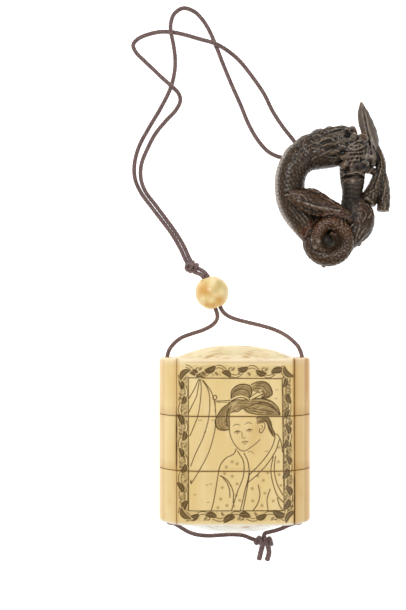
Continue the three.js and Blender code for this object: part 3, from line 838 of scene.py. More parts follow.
def cavityHeight(x, offset=0.0):
    corner = case["cavityCorner"] + offset
    straight = case["cavityHalfWidth"] - case["cavityCorner"]
    beyond = np.clip(np.abs(x) - straight, 0, corner)
    return case["cavityHalfDepth"] - case["cavityCorner"] + np.sqrt(corner**2 - beyond**2)


def cavityReach(height, offset):
    corner = case["cavityCorner"] + offset
    straight = case["cavityHalfDepth"] - case["cavityCorner"]
    beyond = np.clip(np.abs(height) - straight, 0, corner)
    return case["cavityHalfWidth"] - case["cavityCorner"] + np.sqrt(corner**2 - beyond**2)


# how far the end stands out at a point of the section: a dome that rises out of the flat end
def endHeight(x, height):
    a, b, c = case["domeHalf"]
    inside = np.clip(1 - (x / a) ** 2 - (height / c) ** 2, 0, 1)
    dome = case["domeCentre"] + b * np.sqrt(inside)
    flat = case["rimHeight"] + case["rimRounding"]
    return (dome + flat + np.sqrt((dome - flat) ** 2 + 0.02)) / 2


# the rims turn towards the lit table and are painted paler, most of all at the bottom end
def rimPaintedLight(y):
    return 0.9 * smoothstep(-30.9, -32.3, y) + 0.38 * smoothstep(29.6, 32.2, y)


# a soft oval: x, y, half sizes and amount
def softSpot(x, y, spot):
    centreX, centreY, reachX, reachY, amount = spot
    return amount * np.exp(-(((x - centreX) / reachX) ** 2) - ((y - centreY) / reachY) ** 2)


# darkened glue in the joints: black in the left one between the seams, red-brown in the right
def jointDark(x, y):
    between = smoothstep(case["baseSeam"] - 2, case["baseSeam"] + 4, y) * smoothstep(14, 8, y)
    below = smoothstep(case["baseSeam"], case["baseSeam"] - 3, y)
    return np.where(x < 0, 0.3 + 0.7 * between + 0.1 * below, 0.72 + 0.28 * below)


# bone cut across its grain: wavy streaks along the length of the end
def endStreaks(x, height):
    squeezed = np.stack([x.ravel() * 0.12, height.ravel() * 0.75], 1)
    broad = smoothstep(0.2, 0.95, wander(squeezed, 1.6, 17)) * 0.6
    thin = smoothstep(0.5, 0.95, wander(squeezed * 2.1, 1.5, 23)) * 0.5
    return (broad + thin).reshape(x.shape)


# where each tier begins and ends along the case; None stands for a domed end
tiers = {
    "lid": (case["lidSeam"], None),
    "middle": (case["baseSeam"], case["lidSeam"]),
    "bottom": (None, case["baseSeam"]),
}
rebateOffset = case["collarThickness"] + case["collarClearance"]
rebateDepth = case["collarHeight"] + 2 * case["collarClearance"]


def tierEdges(tierName):
    low, high = tiers[tierName]
    half = case["seamGap"] / 2
    return None if low is None else low + half, None if high is None else high - half


# the rounded rim at an angle: how far it lies inside the outer face, and its place along the case
def rimRow(angle):
    inset = case["rimInset"] * (1 - math.cos(angle))
    return inset, case["rimHeight"] + case["rimRounding"] * math.sin(angle)


# the rim of a plate, then its flat or domed end down to the compartment
def plateEnd(x, cavity, sign):
    found = []
    for angle in np.linspace(0.12, np.pi / 2, 12):
        inset, y = rimRow(angle)
        height = outerHeight(x, inset)
        rise = np.maximum(y, endHeight(x, height) - (case["rimRounding"] * (1 - math.sin(angle))))
        found.append((sign * rise, height))
    edge = outerHeight(x, case["rimInset"])
    for part in np.linspace(0.1, 1, 10):
        height = edge * (1 - part) + cavity * part
        found.append((sign * endHeight(x, height), height))
    return found


# columns of a plate as rows of y and height: outer face, end or collar, inner face and rebate
def plateColumns(tierName, x, faceStep):
    arris, lip = case["arris"], 0.2
    cavity, outer = cavityHeight(x), outerHeight(x)
    collarOut = cavityHeight(x, case["collarThickness"])
    rebateOut = cavityHeight(x, rebateOffset)
    one = np.ones_like(x)
    low, high = tierEdges(tierName)
    rim = case["rimHeight"] - 0.15
    faceLow = -rim if low is None else low + arris
    faceHigh = rim if high is None else high - arris
    face = np.linspace(faceLow, faceHigh, int(round((faceHigh - faceLow) / faceStep)) + 1)
    rows = [(y * one, outer) for y in face]
    if high is None:
        rows += plateEnd(x, cavity, 1)
    else:
        top = high + case["collarHeight"]
        rows += [(high * one, outer - arris), (high * one, collarOut), ((top - lip) * one, collarOut)]
        rows += [(top * one, collarOut - lip), (top * one, cavity + lip / 2), ((top - lip / 2) * one, cavity)]
    if low is None:
        # the column closes round the bottom end
        rows += [(-case["innerHalfHeight"] * one, cavity), *plateEnd(x, cavity, -1)[::-1]]
    else:
        top = low + rebateDepth
        rows += [(top * one, cavity), (top * one, rebateOut)]
        rows += [(low * one, rebateOut), (low * one, outer - arris)]
    return face, np.array([y for y, _ in rows]), np.array([h for _, h in rows])


plateWearAndShade = {
    "softEdge": 0.16,  # the plates are rubbed down beside the joints
    # the seam entries are painted shade along the seams
    "seamShadeLine": 0.8,
    "jointGrime": 0.5,
    "seamShadeBrown": 0.35,
    "rightJointGrime": 0.5,
    "rimDarkLine": 0.35,
    "rimDarkLineY": 31.3,
    "frontSpots": [(8.4, 5.6, 2.0, 2.4, 0.3), (6.5, 0.5, 5.5, 4.5, 0.16)],  # the figure's cheek and neck
    "scratch": 0.3,
    "scratchRise": 1.1,  # above the lower seam
    "scratchX": 4.5,
}


# front is 1 for the engraved plates and -1 for the plain back ones
def makePlate(tierName, front, columnStep, faceStep):
    worn = plateWearAndShade
    reach = case["jointX"] - case["jointGap"] / 2
    x = np.linspace(-reach, reach, int(round(2 * reach / columnStep)) + 1)
    face, y, height = plateColumns(tierName, x, faceStep)
    fromJoint = reach - np.abs(x)
    outerSide = height > cavityHeight(x, 1.0)
    height = height - worn["softEdge"] * smoothstep(0.2, 0.0, fromJoint) * outerSide
    ink = np.zeros_like(y)
    if front > 0:
        gridX, gridY = np.meshgrid(x, face)
        ink[: len(face)] = inkAt(gridX, gridY)
        height[: len(face)] -= engraving["depth"] * ink[: len(face)]
    uneven = 0.85 + 0.15 * np.sin(y * 0.9 + x * 0.4)
    darkJoint = jointDark(x, y)
    ink = np.maximum(ink, darkJoint * uneven * smoothstep(0.3 + 0.3 * darkJoint, 0.14, fromJoint))
    toSeam = np.minimum(np.abs(y - case["lidSeam"]), np.abs(y - case["baseSeam"]))
    # painted shade along the seams between the tiers
    ink = np.maximum(ink, worn["seamShadeLine"] * smoothstep(0.32, 0.1, toSeam))
    grimeAndShade = worn["jointGrime"] * smoothstep(1.6, 0.2, fromJoint)
    grimeAndShade = grimeAndShade + worn["seamShadeBrown"] * smoothstep(0.9, 0.1, toSeam)
    grimeAndShade += worn["rightJointGrime"] * smoothstep(0.9, 0.3, fromJoint) * (x > 0) * smoothstep(-6, 6, y)
    # a thin darker line along the top rim, where the face turns over
    rimLine = np.exp(-(((y - worn["rimDarkLineY"]) / 0.28) ** 2))
    grimeAndShade += worn["rimDarkLine"] * rimLine * smoothstep(21, 17, np.abs(x))
    across, rise = np.broadcast_to(x, y.shape), case["halfDepth"] + front * height
    grimeAndShade += smoothstep(31.6, 32.6, np.abs(y)) * endStreaks(across, rise)
    if front > 0:
        for spot in worn["frontSpots"]:
            grimeAndShade += softSpot(x, y, spot)
        scratch = np.exp(-(((y - case["baseSeam"] - worn["scratchRise"]) / 0.16) ** 2))
        grimeAndShade += worn["scratch"] * scratch * smoothstep(10, 8, np.abs(x - worn["scratchX"]))
    columns = np.stack([across, y, rise], -1).transpose(1, 0, 2)
    fields = {"ink": ink, "grimeAndShade": np.clip(grimeAndShade, 0, 1), "paintedTableLight": rimPaintedLight(y)}
    fields = {key: values.T.ravel() for key, values in fields.items()}
    name = f"{tierName}_{'front' if front > 0 else 'back'}"
    faces = loftFaces(*columns.shape[:2], flip=front < 0)
    makePiece(name + "_plate", columns.reshape(-1, 3), faces, plateBone, [name], 40, fields)


for tierName in tiers:
    makePlate(tierName, 1, canvasStep, canvasStep)
    makePlate(tierName, -1, 0.6, 0.8)
print("front and back plates are made")


# the outline of a side block's section: round the outside, then back along the inside
def sideSection(outerInset, innerOffset, collar=False):
    joint = case["jointX"] + case["jointGap"] / 2
    if collar:
        top = cavityHeight(joint, case["collarThickness"]) - 0.05
        heights = np.linspace(-top, top, 41)
        outside = np.maximum(cavityReach(heights, case["collarThickness"]), joint + 0.3)
    else:
        beyond = (joint - case["flatHalf"]) / (case["sideReach"] - outerInset)
        angles = np.linspace(-math.acos(beyond), math.acos(beyond), 41)
        heights = (case["halfDepth"] - outerInset) * np.sin(angles)
        outside = case["flatHalf"] + (case["sideReach"] - outerInset) * np.cos(angles)
        outside[[0, -1]] += 0.1
    inner = np.linspace(heights[-1], heights[0], 29)
    inner[[0, -1]] *= 0.992
    inside = np.maximum(cavityReach(inner, innerOffset), joint)
    across = np.concatenate([outside, inside])
    return np.stack([across, np.concatenate([heights, inner])], 1)


# rings of a side block from its low end to its high end, as y and section
def sideRings(tierName):
    arris, step = case["arris"], 0.02
    low, high = tierEdges(tierName)
    plain = sideSection(0, 0)
    rim = []
    for angle in np.linspace(0, np.pi / 2, 9):
        inset, y = rimRow(angle)
        rim.append((y, sideSection(inset, 0.0)))
    if low is None:
        rings = [(-y, section) for y, section in rim[::-1]]
        start = -case["rimHeight"]
    else:
        start = low + rebateDepth
        rings = [(low, sideSection(arris, rebateOffset)), (low + arris, sideSection(0, rebateOffset)),
                 (start, sideSection(0, rebateOffset)), (start + step, plain)]
    end = case["rimHeight"] if high is None else high
    span = end - start
    # closer together near the seams, where the stains and the painted seam shade change fastest
    places = [0.05, 0.12, 0.3, 0.6, 1.0, *np.linspace(1.8, span - 1.8, 14)]
    places += [span - 1.0, span - 0.6, span - 0.3]
    rings += [(start + place, plain) for place in places]
    if high is None:
        return rings + rim
    top = high + case["collarHeight"]
    collar = sideSection(0, 0, True)
    return rings + [(high - arris, plain), (high, sideSection(arris, 0)), (high + step, collar),
                    (top - 0.2, collar), (top, sideSection(0, 0.1, True))]


def evaluatedMesh(piece):
    bpy.context.view_layer.update()
    shaped = piece.evaluated_get(bpy.context.evaluated_depsgraph_get())
    return bpy.data.meshes.new_from_object(shaped)


def cutAway(piece, cutter):
    modifier = piece.modifiers.new("cut", "BOOLEAN")
    modifier.operation = "DIFFERENCE"
    modifier.solver = "EXACT"
    modifier.object = cutter
    shaped = evaluatedMesh(piece)
    piece.modifiers.clear()
    piece.data = shaped
    bpy.data.objects.remove(cutter)


# the round channel that the cord runs in, drilled right through
def drillChannel(piece, side):
    turn = np.linspace(0, 2 * np.pi, 32, endpoint=False)
    ring = np.stack([np.cos(turn), 0 * turn, np.sin(turn)], 1) * case["channelRadius"]
    ends = [ring + [side * case["channelX"], y, case["halfDepth"]] for y in (-45.0, 45.0)]
    rows = [row.tolist() for block in loftFaces(2, len(turn)) for row in block]
    mesh = bpy.data.meshes.new("drill")
    mesh.from_pydata((np.concatenate(ends) * mm).tolist(), [], rows)
    cutter = bpy.data.objects.new("drill", mesh)
    bpy.context.scene.collection.objects.link(cutter)
    cutAway(piece, cutter)


# a fine dark line runs down each block, where its outer strip begins
leftWear = {"lineX": 26.9, "lineInk": 0.12}
rightToneAndShade = {"lineX": 27.5, "lineInk": 0.3, "stripe": 0.24, "upperStripe": 0.3}


def makeSide(tierName, side):
    worn = leftWear if side < 0 else rightToneAndShade
    depth = case["halfDepth"]
    points = np.array([
        np.stack([side * section[:, 0], np.full(len(section), y), depth + section[:, 1]], 1)
        for y, section in sideRings(tierName)
    ])
    y, x = points[..., 1], np.abs(points[..., 0])
    toSeam = np.minimum(np.abs(y - case["lidSeam"]), np.abs(y - case["baseSeam"]))
    fromJoint = x - case["jointX"]
    lineX = worn["lineX"]
    above = points[..., 2] > depth
    joint = jointDark(side * x, y)
    # painted shade along the seams, and the dark glue in the joints
    ink = np.maximum(0.8 * smoothstep(0.2, 0.08, toSeam),
                     0.9 * joint * smoothstep(0.1 + 0.25 * joint, 0.05, fromJoint))
    ink = np.maximum(ink, smoothstep(0.22, 0.04, np.abs(x - lineX)) * above * worn["lineInk"])
    # brown near the joints, and painted shade beside the seams
    grimeAndShade = 0.25 * smoothstep(1.8, 0.2, fromJoint) + 0.3 * smoothstep(0.7, 0.1, toSeam)
    # painted light from the lit table on the rims
    paintedTableLight = 0.8 * rimPaintedLight(y)
    if side < 0:
        grimeAndShade += 0.06 * smoothstep(lineX + 0.4, lineX - 0.4, x) + 0.34 * smoothstep(27.3, 28.3, x)
        # the outer edge is painted paler by the lit table
        paintedTableLight += 0.12 * smoothstep(28.8, 29.8, x) * above
    else:
        # this block is darker, partly its own browner bone and partly painted shade on the side away from the
        # key lamp, most of all in a stripe beyond the line
        stripe = smoothstep(lineX - 0.2, lineX + 0.2, x) * smoothstep(29.6, 28.6, x) * above
        upper = worn["stripe"] + worn["upperStripe"] * smoothstep(12, 22, y)
        grimeAndShade += 0.34 + 0.14 * smoothstep(27, 29, x) + stripe * upper
        # its outer edge is painted paler by the lit table
        paintedTableLight += 0.25 * smoothstep(29.4, 30.1, x) * above
    fields = {"ink": ink.ravel(), "grimeAndShade": np.clip(grimeAndShade, 0, 1).ravel(), "paintedTableLight": paintedTableLight.ravel()}
    name = f"{tierName}_side_{'left' if side < 0 else 'right'}"
    faces = loftFaces(*points.shape[:2], flip=side > 0)
    points = points.reshape(-1, 3)
    piece = makePiece(name + "_block", points, faces, sideBone, [name], 35, fields)
    drillChannel(piece, side)


for tierName in tiers:
    makeSide(tierName, -1)
    makeSide(tierName, 1)


# loops of the compartment's outline shrink to the middle, each raised to the dome
def makeEnd(name, end, material, streaks, edgeGrime):
    inset = 0.04
    halfX, halfZ = case["cavityHalfWidth"] - inset, case["cavityHalfDepth"] - inset
    corner = case["cavityCorner"] - inset
    # a rounded oblong: corners, then the straight stretches between them
    outline = []
    for cx, cz, start in ((1, 1, 0.0), (-1, 1, 0.5), (-1, -1, 1.0), (1, -1, 1.5)):
        for angle in np.linspace(start * np.pi, (start + 0.5) * np.pi, 16):
            outline.append((cx * (halfX - corner) + corner * math.cos(angle),
                            cz * (halfZ - corner) + corner * math.sin(angle)))
    outline = evenly(np.array([*outline, outline[0]]), 0.45)[:-1]
    flat = np.full(len(outline), end * case["innerHalfHeight"])
    loops = [np.stack([outline[:, 0], flat, outline[:, 1]], 1)]
    for scale in np.linspace(1, 0.02, 70):
        x, height = outline[:, 0] * scale, outline[:, 1] * scale
        loops.append(np.stack([x, end * endHeight(x, height), height], 1))
    points = np.array(loops)
    outer = np.maximum(np.abs(points[..., 0]) / halfX, np.abs(points[..., 2]) / halfZ)
    points[..., 2] += case["halfDepth"]
    grimeAndShade = streaks * endStreaks(points[..., 0], points[..., 2]) + edgeGrime * smoothstep(0.55, 1.0, outer)
    fields = {"ink": np.zeros(grimeAndShade.size), "grimeAndShade": np.clip(grimeAndShade, 0, 0.8).ravel()}
    faces = loftFaces(*points.shape[:2], flip=end < 0)
    makePiece(name + "_dome", points.reshape(-1, 3), faces, material, [name], 50, fields)


makeEnd("lid_top", 1, endBone, 1, 0.2)
makeEnd("bottom_base", -1, basePaintedLightBone, 0.55, 0)
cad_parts["middle_floor"].data.materials.clear()
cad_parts["middle_floor"].data.materials.append(plateBone)
print("side blocks, ends and the middle floor are made")


# bead

bead = {
    "centre": np.array([-9.03, 58.62, 6.9]),
    "axis": np.array([0.36, -0.933, 0.0]),
    "radius": 6.9,
    "bore": 2.3,
    "boreChamfer": 0.1,
    "pale": srgb(246, 228, 176),
    "honey": srgb(218, 184, 112),
    "orange": srgb(212, 158, 74),
    "green": srgb(206, 188, 128),
    # in the order they are laid on: offset from the middle, and radius
    "patches": {
        "orange": [
            (-4.1, 0.9, 2.3), (-2.2, 0.6, 1.3), (2.8, -3.2, 1.6),
            (0.2, -5.3, 1.3), (-1.9, -5.0, 1.0),
        ],
        "green": [(3.0, 3.6, 1.9), (5.7, 0.8, 1.5), (1.2, 0.9, 1.2)],
        # the pale patches are painted highlights
        "pale": [
            (0.1, 3.3, 1.2), (-0.4, -3.3, 1.1), (-3.6, -2.6, 1.5),
            (4.0, 0.2, 1.2), (0.2, 4.9, 1.6),
        ],
    },
    "patchStrength": 0.8,
    "shader": {
        "Roughness": 0.38,
        "Specular IOR Level": 0.4,
        "Coat Roughness": 0.3,
        "Coat Weight": 0.2,
        "Subsurface Weight": 0.15,
        "Subsurface Radius": (1.0, 0.75, 0.4),
        "Subsurface Scale": 0.0015,
    },
}


def beadMaterial(finish):
    material, tree, shader = startMaterial("beadBone", finish["shader"])
    broad = placeGroup(tree, blotches, {"Scale": 150.0, "Low": 0.38, "High": 0.66})
    pores = placeGroup(tree, grain, {"Scale": 900.0, "Stretch": 0.5, "Contrast": 2.2})
    colour = tint(tree, finish["honey"], broad.outputs["Mask"], finish["pale"], 0.5)
    # orange and green patches of the bone, then the painted highlights
    for key in finish["patches"]:
        colour = tint(tree, colour, fieldNode(tree, key), finish[key])
    colour = tint(tree, colour, pores.outputs["Mask"], finish["orange"], 0.14)
    tree.links.new(colour, shader.inputs["Base Color"])
    addBump(tree, shader, pores.outputs["Height"], 0.00005, 0.4)
    return material


def makeBead(setup):
    radius, bore, chamfer = setup["radius"], setup["bore"], setup["boreChamfer"]
    axis = setup["axis"] / np.linalg.norm(setup["axis"])
    side, rise = np.array([-axis[1], axis[0], 0.0]), np.array([0.0, 0.0, 1.0])
    start = math.asin(bore / radius)
    # radius and place along the axis: over the outside, then back through the bore
    angles = np.linspace(start, np.pi - start, 64)
    profile = [(radius * math.sin(a), -radius * math.cos(a)) for a in angles]
    length = profile[-1][1]
    for index, sign in ((0, 1), (-1, -1)):
        profile[index] = (profile[index][0] + chamfer, profile[index][1] + sign * 0.04)
    profile += [(bore - 0.05, along) for along in np.linspace(length - 0.15, 0.15 - length, 14)]
    turn = np.linspace(0, 2 * np.pi, 96, endpoint=False)
    circle = np.cos(turn)[:, None] * side + np.sin(turn)[:, None] * rise
    points = np.concatenate([setup["centre"] + axis * along + circle * reach for reach, along in profile])
    # cut by hand: it is never quite round
    outward = points - setup["centre"]
    dent = np.minimum(0, wander(outward, 9.0, 5) * 0.12 - 0.06)
    points = points + outward / radius * dent[:, None]
    points[:, 2] = np.maximum(points[:, 2], 0.0)
    fields = {}
    for key, patches in setup["patches"].items():
        amount = np.zeros(len(points))
        for x, y, reach in patches:
            away = np.hypot(outward[:, 0] - x, outward[:, 1] - y) + 0.45 * wander(outward, 1.6, 31)
            amount += np.exp(-((away / reach) ** 2))
        fields[key] = np.clip(setup["patchStrength"] * amount, 0, setup["patchStrength"])
    faces = [ringFaces(len(profile), len(turn), closed=True)[:, ::-1]]
    makePiece("bead", points, faces, beadMaterial(setup), ["ojime_bead"], 40, fields)


makeBead(bead)
print("bead is made")


# cord

silk = {
    "radius": 0.9,
    "sides": 20,
    "step": 0.24,
    "plaitLength": 3.0,
    "relief": 0.1,
    "tailRadius": 1.12,
    "lyingHeight": 0.95,  # of a cord's middle where it lies flat
    "core": srgb(90, 69, 67),
    "thread": srgb(136, 110, 105),
    "hollow": srgb(52, 32, 32),
    "shader": {"Roughness": 0.62, "Specular IOR Level": 0.35, "Sheen Weight": 0.25, "Sheen Roughness": 0.4},
}


def silkMaterial(finish):
    material, tree, shader = startMaterial("braidedSilk", finish["shader"])
    threads = placeGroup(tree, blotches, {"Scale": 900.0, "Low": 0.35, "High": 0.65})
    wearAndLightSettings = {"Breakup Scale": 1500.0, "Dirt": 1.0, "RubAndHighlight": 1.0}
    wearAndLight = placeGroup(tree, wearAndLightTree, wearAndLightSettings, {"Relief": fieldNode(tree, "relief")})
    colour = tint(tree, finish["core"], threads.outputs["Mask"], finish["thread"], 0.5)
    # plait crests are lighter, rubbed and with a painted highlight; grooves are darker, with dirt and painted
    # shade
    colour = tint(tree, colour, wearAndLight.outputs["RubAndHighlight Mask"], finish["thread"])
    colour = tint(tree, colour, wearAndLight.outputs["Dirt Mask"], finish["hollow"])
    tree.links.new(colour, shader.inputs["Base Color"])
    addBump(tree, shader, threads.outputs["Mask"], 0.00008, 0.5)
    return material


braidedSilk = silkMaterial(silk)


# directions across a curve that turn as little as they can
def acrossCurve(curve):
    along = unitRows(np.gradient(curve, axis=0))
    held = np.array([0.0, 0.0, 1.0]) if abs(along[0][2]) < 0.9 else np.array([1.0, 0.0, 0.0])
    across = []
    for direction in along:
        held = held - direction * (held @ direction)
        held = held / np.linalg.norm(held)
        across.append(held)
    return np.array(across), np.cross(along, across)


# plaited relief round a tube: two sets of strands that cross
def plait(turn, travelled, length):
    lean = travelled / length * 2 * np.pi
    one = np.abs(np.sin(2 * turn + lean))
    other = np.abs(np.sin(2 * turn - lean))
    return np.maximum(one, other) - 0.75


# a tube with the plait on it; where endTaper is above 0 its far end draws in over that length
def braidTube(curve, radius, endTaper=0.0):
    across, rise = acrossCurve(curve)
    travelled = lengthsAlong(curve)
    turn = np.linspace(0, 2 * np.pi, silk["sides"], endpoint=False)
    relief = plait(turn[None, :], travelled[:, None], silk["plaitLength"])
    size = radius - silk["relief"] * 0.6 + silk["relief"] * relief
    if endTaper:
        size = size * smoothstep(-0.5, endTaper, travelled[-1] - travelled)[:, None] ** 0.5
    circle = np.cos(turn)[None, :, None] * across[:, None] + np.sin(turn)[None, :, None] * rise[:, None]
    points = curve[:, None] + circle * size[..., None]
    points[..., 2] = np.maximum(points[..., 2], 0.0)
    return points.reshape(-1, 3), loftFaces(len(curve), len(turn), flip=True), relief.ravel() * 1.6


# x, y and z; a point without z lies flat
routes = {
    # base knot, left channels, lid, bead, upper knot
    "cord_left": [
        [7.1, -42.8, 1.9], [4.2, -41.8, 1.2], [-0.6, -41.4], [-6.1, -41.7], [-10.7, -41.9],
        [-14.8, -41.5, 1.1], [-18.0, -40.4, 1.9], [-20.8, -38.6, 3.2], [-23.1, -36.7, 4.9],
        [-24.8, -35.4, 6.9], [-25.9, -34.8, 9.0], [-26.6, -34.1, 10.9], [-27.0, -32.9, 12.1],
        [-27.2, -31.0, 12.5], [-27.2, -10.5, 12.5], [-27.2, 10.5, 12.5], [-27.2, 31.8, 12.5],
        [-26.7, 34.4, 11.9], [-26.0, 36.0, 10.9], [-24.2, 38.2, 8.8], [-21.5, 40.2, 6.2],
        [-17.5, 41.7, 3.7], [-12.6, 43.3, 2.3], [-8.9, 45.3, 2.5], [-7.0, 47.6, 4.2],
        [-6.9, 49.9, 6.1], [-7.5, 51.7, 6.85], [-8.7, 54.8, 6.9], [-11.3, 61.6, 6.9],
        [-12.5, 64.8, 6.9], [-13.5, 65.9, 6.2], [-14.5, 66.4, 5.0], [-15.3, 66.7, 3.9],
    ],
    # upper knot, bead, lid, right channels, base knot
    "cord_right": [
        [-14.1, 68.3, 3.9], [-13.2, 67.8, 5.0], [-12.0, 66.9, 6.2], [-10.8, 65.3, 6.9],
        [-9.3, 62.3, 6.9], [-6.7, 55.6, 6.9], [-5.5, 52.5, 6.9], [-4.5, 50.8, 6.3], [-2.6, 49.2, 4.8],
        [0.6, 47.8, 2.8], [5.4, 46.5, 1.5], [11.2, 45.1, 1.2], [16.5, 43.5, 2.2], [20.8, 41.4, 4.8],
        [24.0, 38.8, 8.0], [26.0, 36.3, 10.6], [27.2, 31.8, 12.5], [27.2, 10.5, 12.5],
        [27.2, -10.5, 12.5], [27.2, -31.0, 12.5], [27.0, -32.9, 12.1], [26.6, -34.1, 10.9],
        [25.9, -34.8, 9.1], [24.6, -35.3, 7.4], [22.3, -36.4, 6.0], [19.4, -38.0, 4.9],
        [17.0, -39.0, 4.2], [14.8, -39.7, 3.5], [12.7, -40.6, 2.8],
    ],
    # upper knot to the toggle, over the other strand at two crossings
    "cord_netsuke_a": [
        [-18.2, 72.6, 1.9], [-20.75, 78.2, 1.0], [-24.25, 84.0], [-28.4, 89.7], [-32.6, 95.3],
        [-36.6, 100.7], [-38.4, 105.9], [-38.2, 111.7], [-35.5, 118.6], [-32.4, 124.4], [-28.1, 129.7],
        [-23.8, 134.4], [-22.1, 138.1, 1.2], [-22.9, 141.0, 2.2], [-26.0, 143.9, 3.3],
        [-29.6, 147.4, 1.9], [-33.4, 151.2], [-37.4, 155.0], [-40.5, 158.2], [-41.6, 161.1],
        [-39.6, 163.7], [-34.5, 165.8], [-30.0, 166.6], [-26.0, 166.5], [-21.0, 165.6],
        [-14.4, 163.5, 1.7], [-7.4, 161.0, 3.3], [-1.7, 158.0, 1.8], [2.7, 154.3], [7.2, 148.7],
        [12.5, 141.0], [16.2, 133.6], [20.4, 127.2], [24.4, 122.1, 1.15], [26.1, 119.4, 2.0],
        [27.4, 116.7, 3.1],
    ],
    # upper knot to the toggle, underneath
    "cord_netsuke_b": [
        [-19.7, 71.7, 1.9], [-22.25, 77.2, 1.0], [-25.65, 83.0], [-29.9, 88.7], [-34.2, 94.3],
        [-38.3, 99.9], [-40.8, 105.6], [-41.1, 111.7], [-39.2, 119.1], [-35.0, 127.0], [-30.3, 134.9],
        [-26.4, 142.7], [-24.7, 148.7], [-24.2, 154.5, 1.0], [-24.8, 160.3, 1.9], [-26.0, 166.4, 3.3],
        [-25.9, 170.5, 1.9], [-24.4, 174.3], [-20.9, 176.4], [-16.5, 175.1], [-13.2, 172.0],
        [-10.2, 167.3], [-7.5, 161.2], [-4.9, 154.5], [-1.2, 145.5], [3.0, 136.0], [6.2, 128.3],
        [9.9, 121.9], [14.1, 117.2], [18.2, 115.0, 1.15], [21.2, 114.3, 2.0], [24.2, 113.7, 3.1],
    ],
}
routes = {
    name: [row if len(row) == 3 else [*row, silk["lyingHeight"]] for row in rows]
    for name, rows in routes.items()
}


# turns of cord side by side round an axis in the ground plane, inside half sizes
def knotTurns(centre, half, turns, heading, start):
    part = np.linspace(-1, 1, int(60 * turns))
    angle = math.radians(start) + (part + 1) * turns * np.pi
    reach = np.array(half) - silk["radius"] - 0.02
    swell = 1 - 0.25 * part**2
    along = reach[0] * part
    across = reach[1] * np.cos(angle) * swell
    turn = math.radians(heading)
    x = along * math.cos(turn) - across * math.sin(turn)
    y = along * math.sin(turn) + across * math.cos(turn)
    z = reach[2] * np.sin(angle) * swell
    return evenly(np.array(centre) + np.stack([x, y, z], 1), silk["step"])


knots = {
    "upper": {
        "centre": (-17.2, 69.2, 2.75),
        # half sizes, turns, heading and start
        "windings": [((3.1, 2.9, 2.65), 2.2, -30, 100), ((3.0, 2.7, 2.6), 1.6, 60, 20)],
        "tails": [],
    },
    "lower": {
        "centre": (12.3, -43.7, 2.3),
        "windings": [((4.55, 2.3, 2.25), 3.4, -4, 60), ((2.5, 2.2, 2.2), 0.9, 62, 10)],
        "tails": [
            [(11.7, -43.6, 2.3), (11.9, -45.0, 1.8), (11.1, -48.8, 1.25), (10.4, -51.9, 1.15)],
            [(13.2, -43.6, 2.3), (13.9, -45.0, 1.8), (14.6, -48.8, 1.25), (13.7, -52.2, 1.15)],
        ],
    },
}


# windings and tails gathered into one piece
def makeKnot(name):
    setup = knots[name]
    tubes = [(knotTurns(setup["centre"], *winding), silk["radius"]) for winding in setup["windings"]]
    for tail in setup["tails"]:
        tubes.append((evenly(throughPoints(tail, 10), silk["step"]), silk["tailRadius"]))
    points, faces, relief, first = [], [], [], 0
    for curve, radius in tubes:
        tube, rows, tubeRelief = braidTube(curve, radius, endTaper=0.5)
        points.append(tube)
        faces += [block + first for block in rows]
        relief.append(tubeRelief)
        first += len(tube)
    points, fields = np.concatenate(points), {"relief": np.concatenate(relief)}
    node = "knot_" + name
    return makePiece(name + "_knot", points, faces, braidedSilk, [node], 60, fields)


upperKnot = makeKnot("upper")
lowerKnot = makeKnot("lower")
# how each cord runs on into its knots at both ends, and the knot that goes with it
cordEnds = {
    "cord_left": ([[10.6, -43.9, 2.3]], [[-16.6, 67.6, 3.0]], [upperKnot]),
    "cord_right": ([[-16.4, 69.2, 3.0]], [[12.4, -42.8, 2.4]], [lowerKnot]),
    "cord_netsuke_a": ([[-17.0, 70.4, 2.6]], [], []),
    "cord_netsuke_b": ([[-18.2, 69.2, 2.6]], [], []),
}
for name, (before, after, knotsOnCord) in cordEnds.items():
    route = evenly(throughPoints([*before, *routes[name], *after], 24), silk["step"])
    points, faces, relief = braidTube(route, silk["radius"])
    fields = {"relief": relief}
    piece = makePiece(name + "_braid", points, faces, braidedSilk, [name], 60, fields)
print("cords and knots are laid")


# dragon toggle

dragon = {
    "voxel": 0.305,
    "scaleDepth": 0.3,
    "scuteDepth": 0.3,
    "scuteLength": 1.3,
    "bellyRim": 0.3,
    "scallopLength": 5.2,
    "toolMarks": 0.05,
    # these heights also set where painted shade and painted highlight reach full strength
    "fineWear": 0.13,  # heights that count as fully rubbed
    "broadWear": 0.8,
    "coilCentre": (38.6, 79.5),
    "coilTurns": 1.75,
    "coilStart": 165,
    "coilReach": 6.7,
    "coilGirth": 4.2,
    "coilBase": 4.4,
    "coilRise": 6.2,
    "coilSink": 4.0,
    "coilStretch": 0.2,
    "wood": srgb(44, 33, 21),
    "worn": srgb(114, 94, 70),
    "warm": srgb(88, 42, 20),
    # pale of the belly scutes, also used for the painted highlights along the strokes
    "paleAndHighlight": srgb(164, 152, 141),
    # the colour of painted shade in the hollows and under the head
    "deep": srgb(26, 19, 12),
    "hollow": srgb(12, 9, 7),
    "fibreAmount": 0.35,
    "cloudAmount": 0.12,
    "warmAmount": 0.6,
    "paintedShadeAmount": 0.85,
    "gloss": 0.37,
    "shader": {"Roughness": 0.36, "Specular IOR Level": 0.28, "Coat Weight": 0.06, "Coat Roughness": 0.16},
}

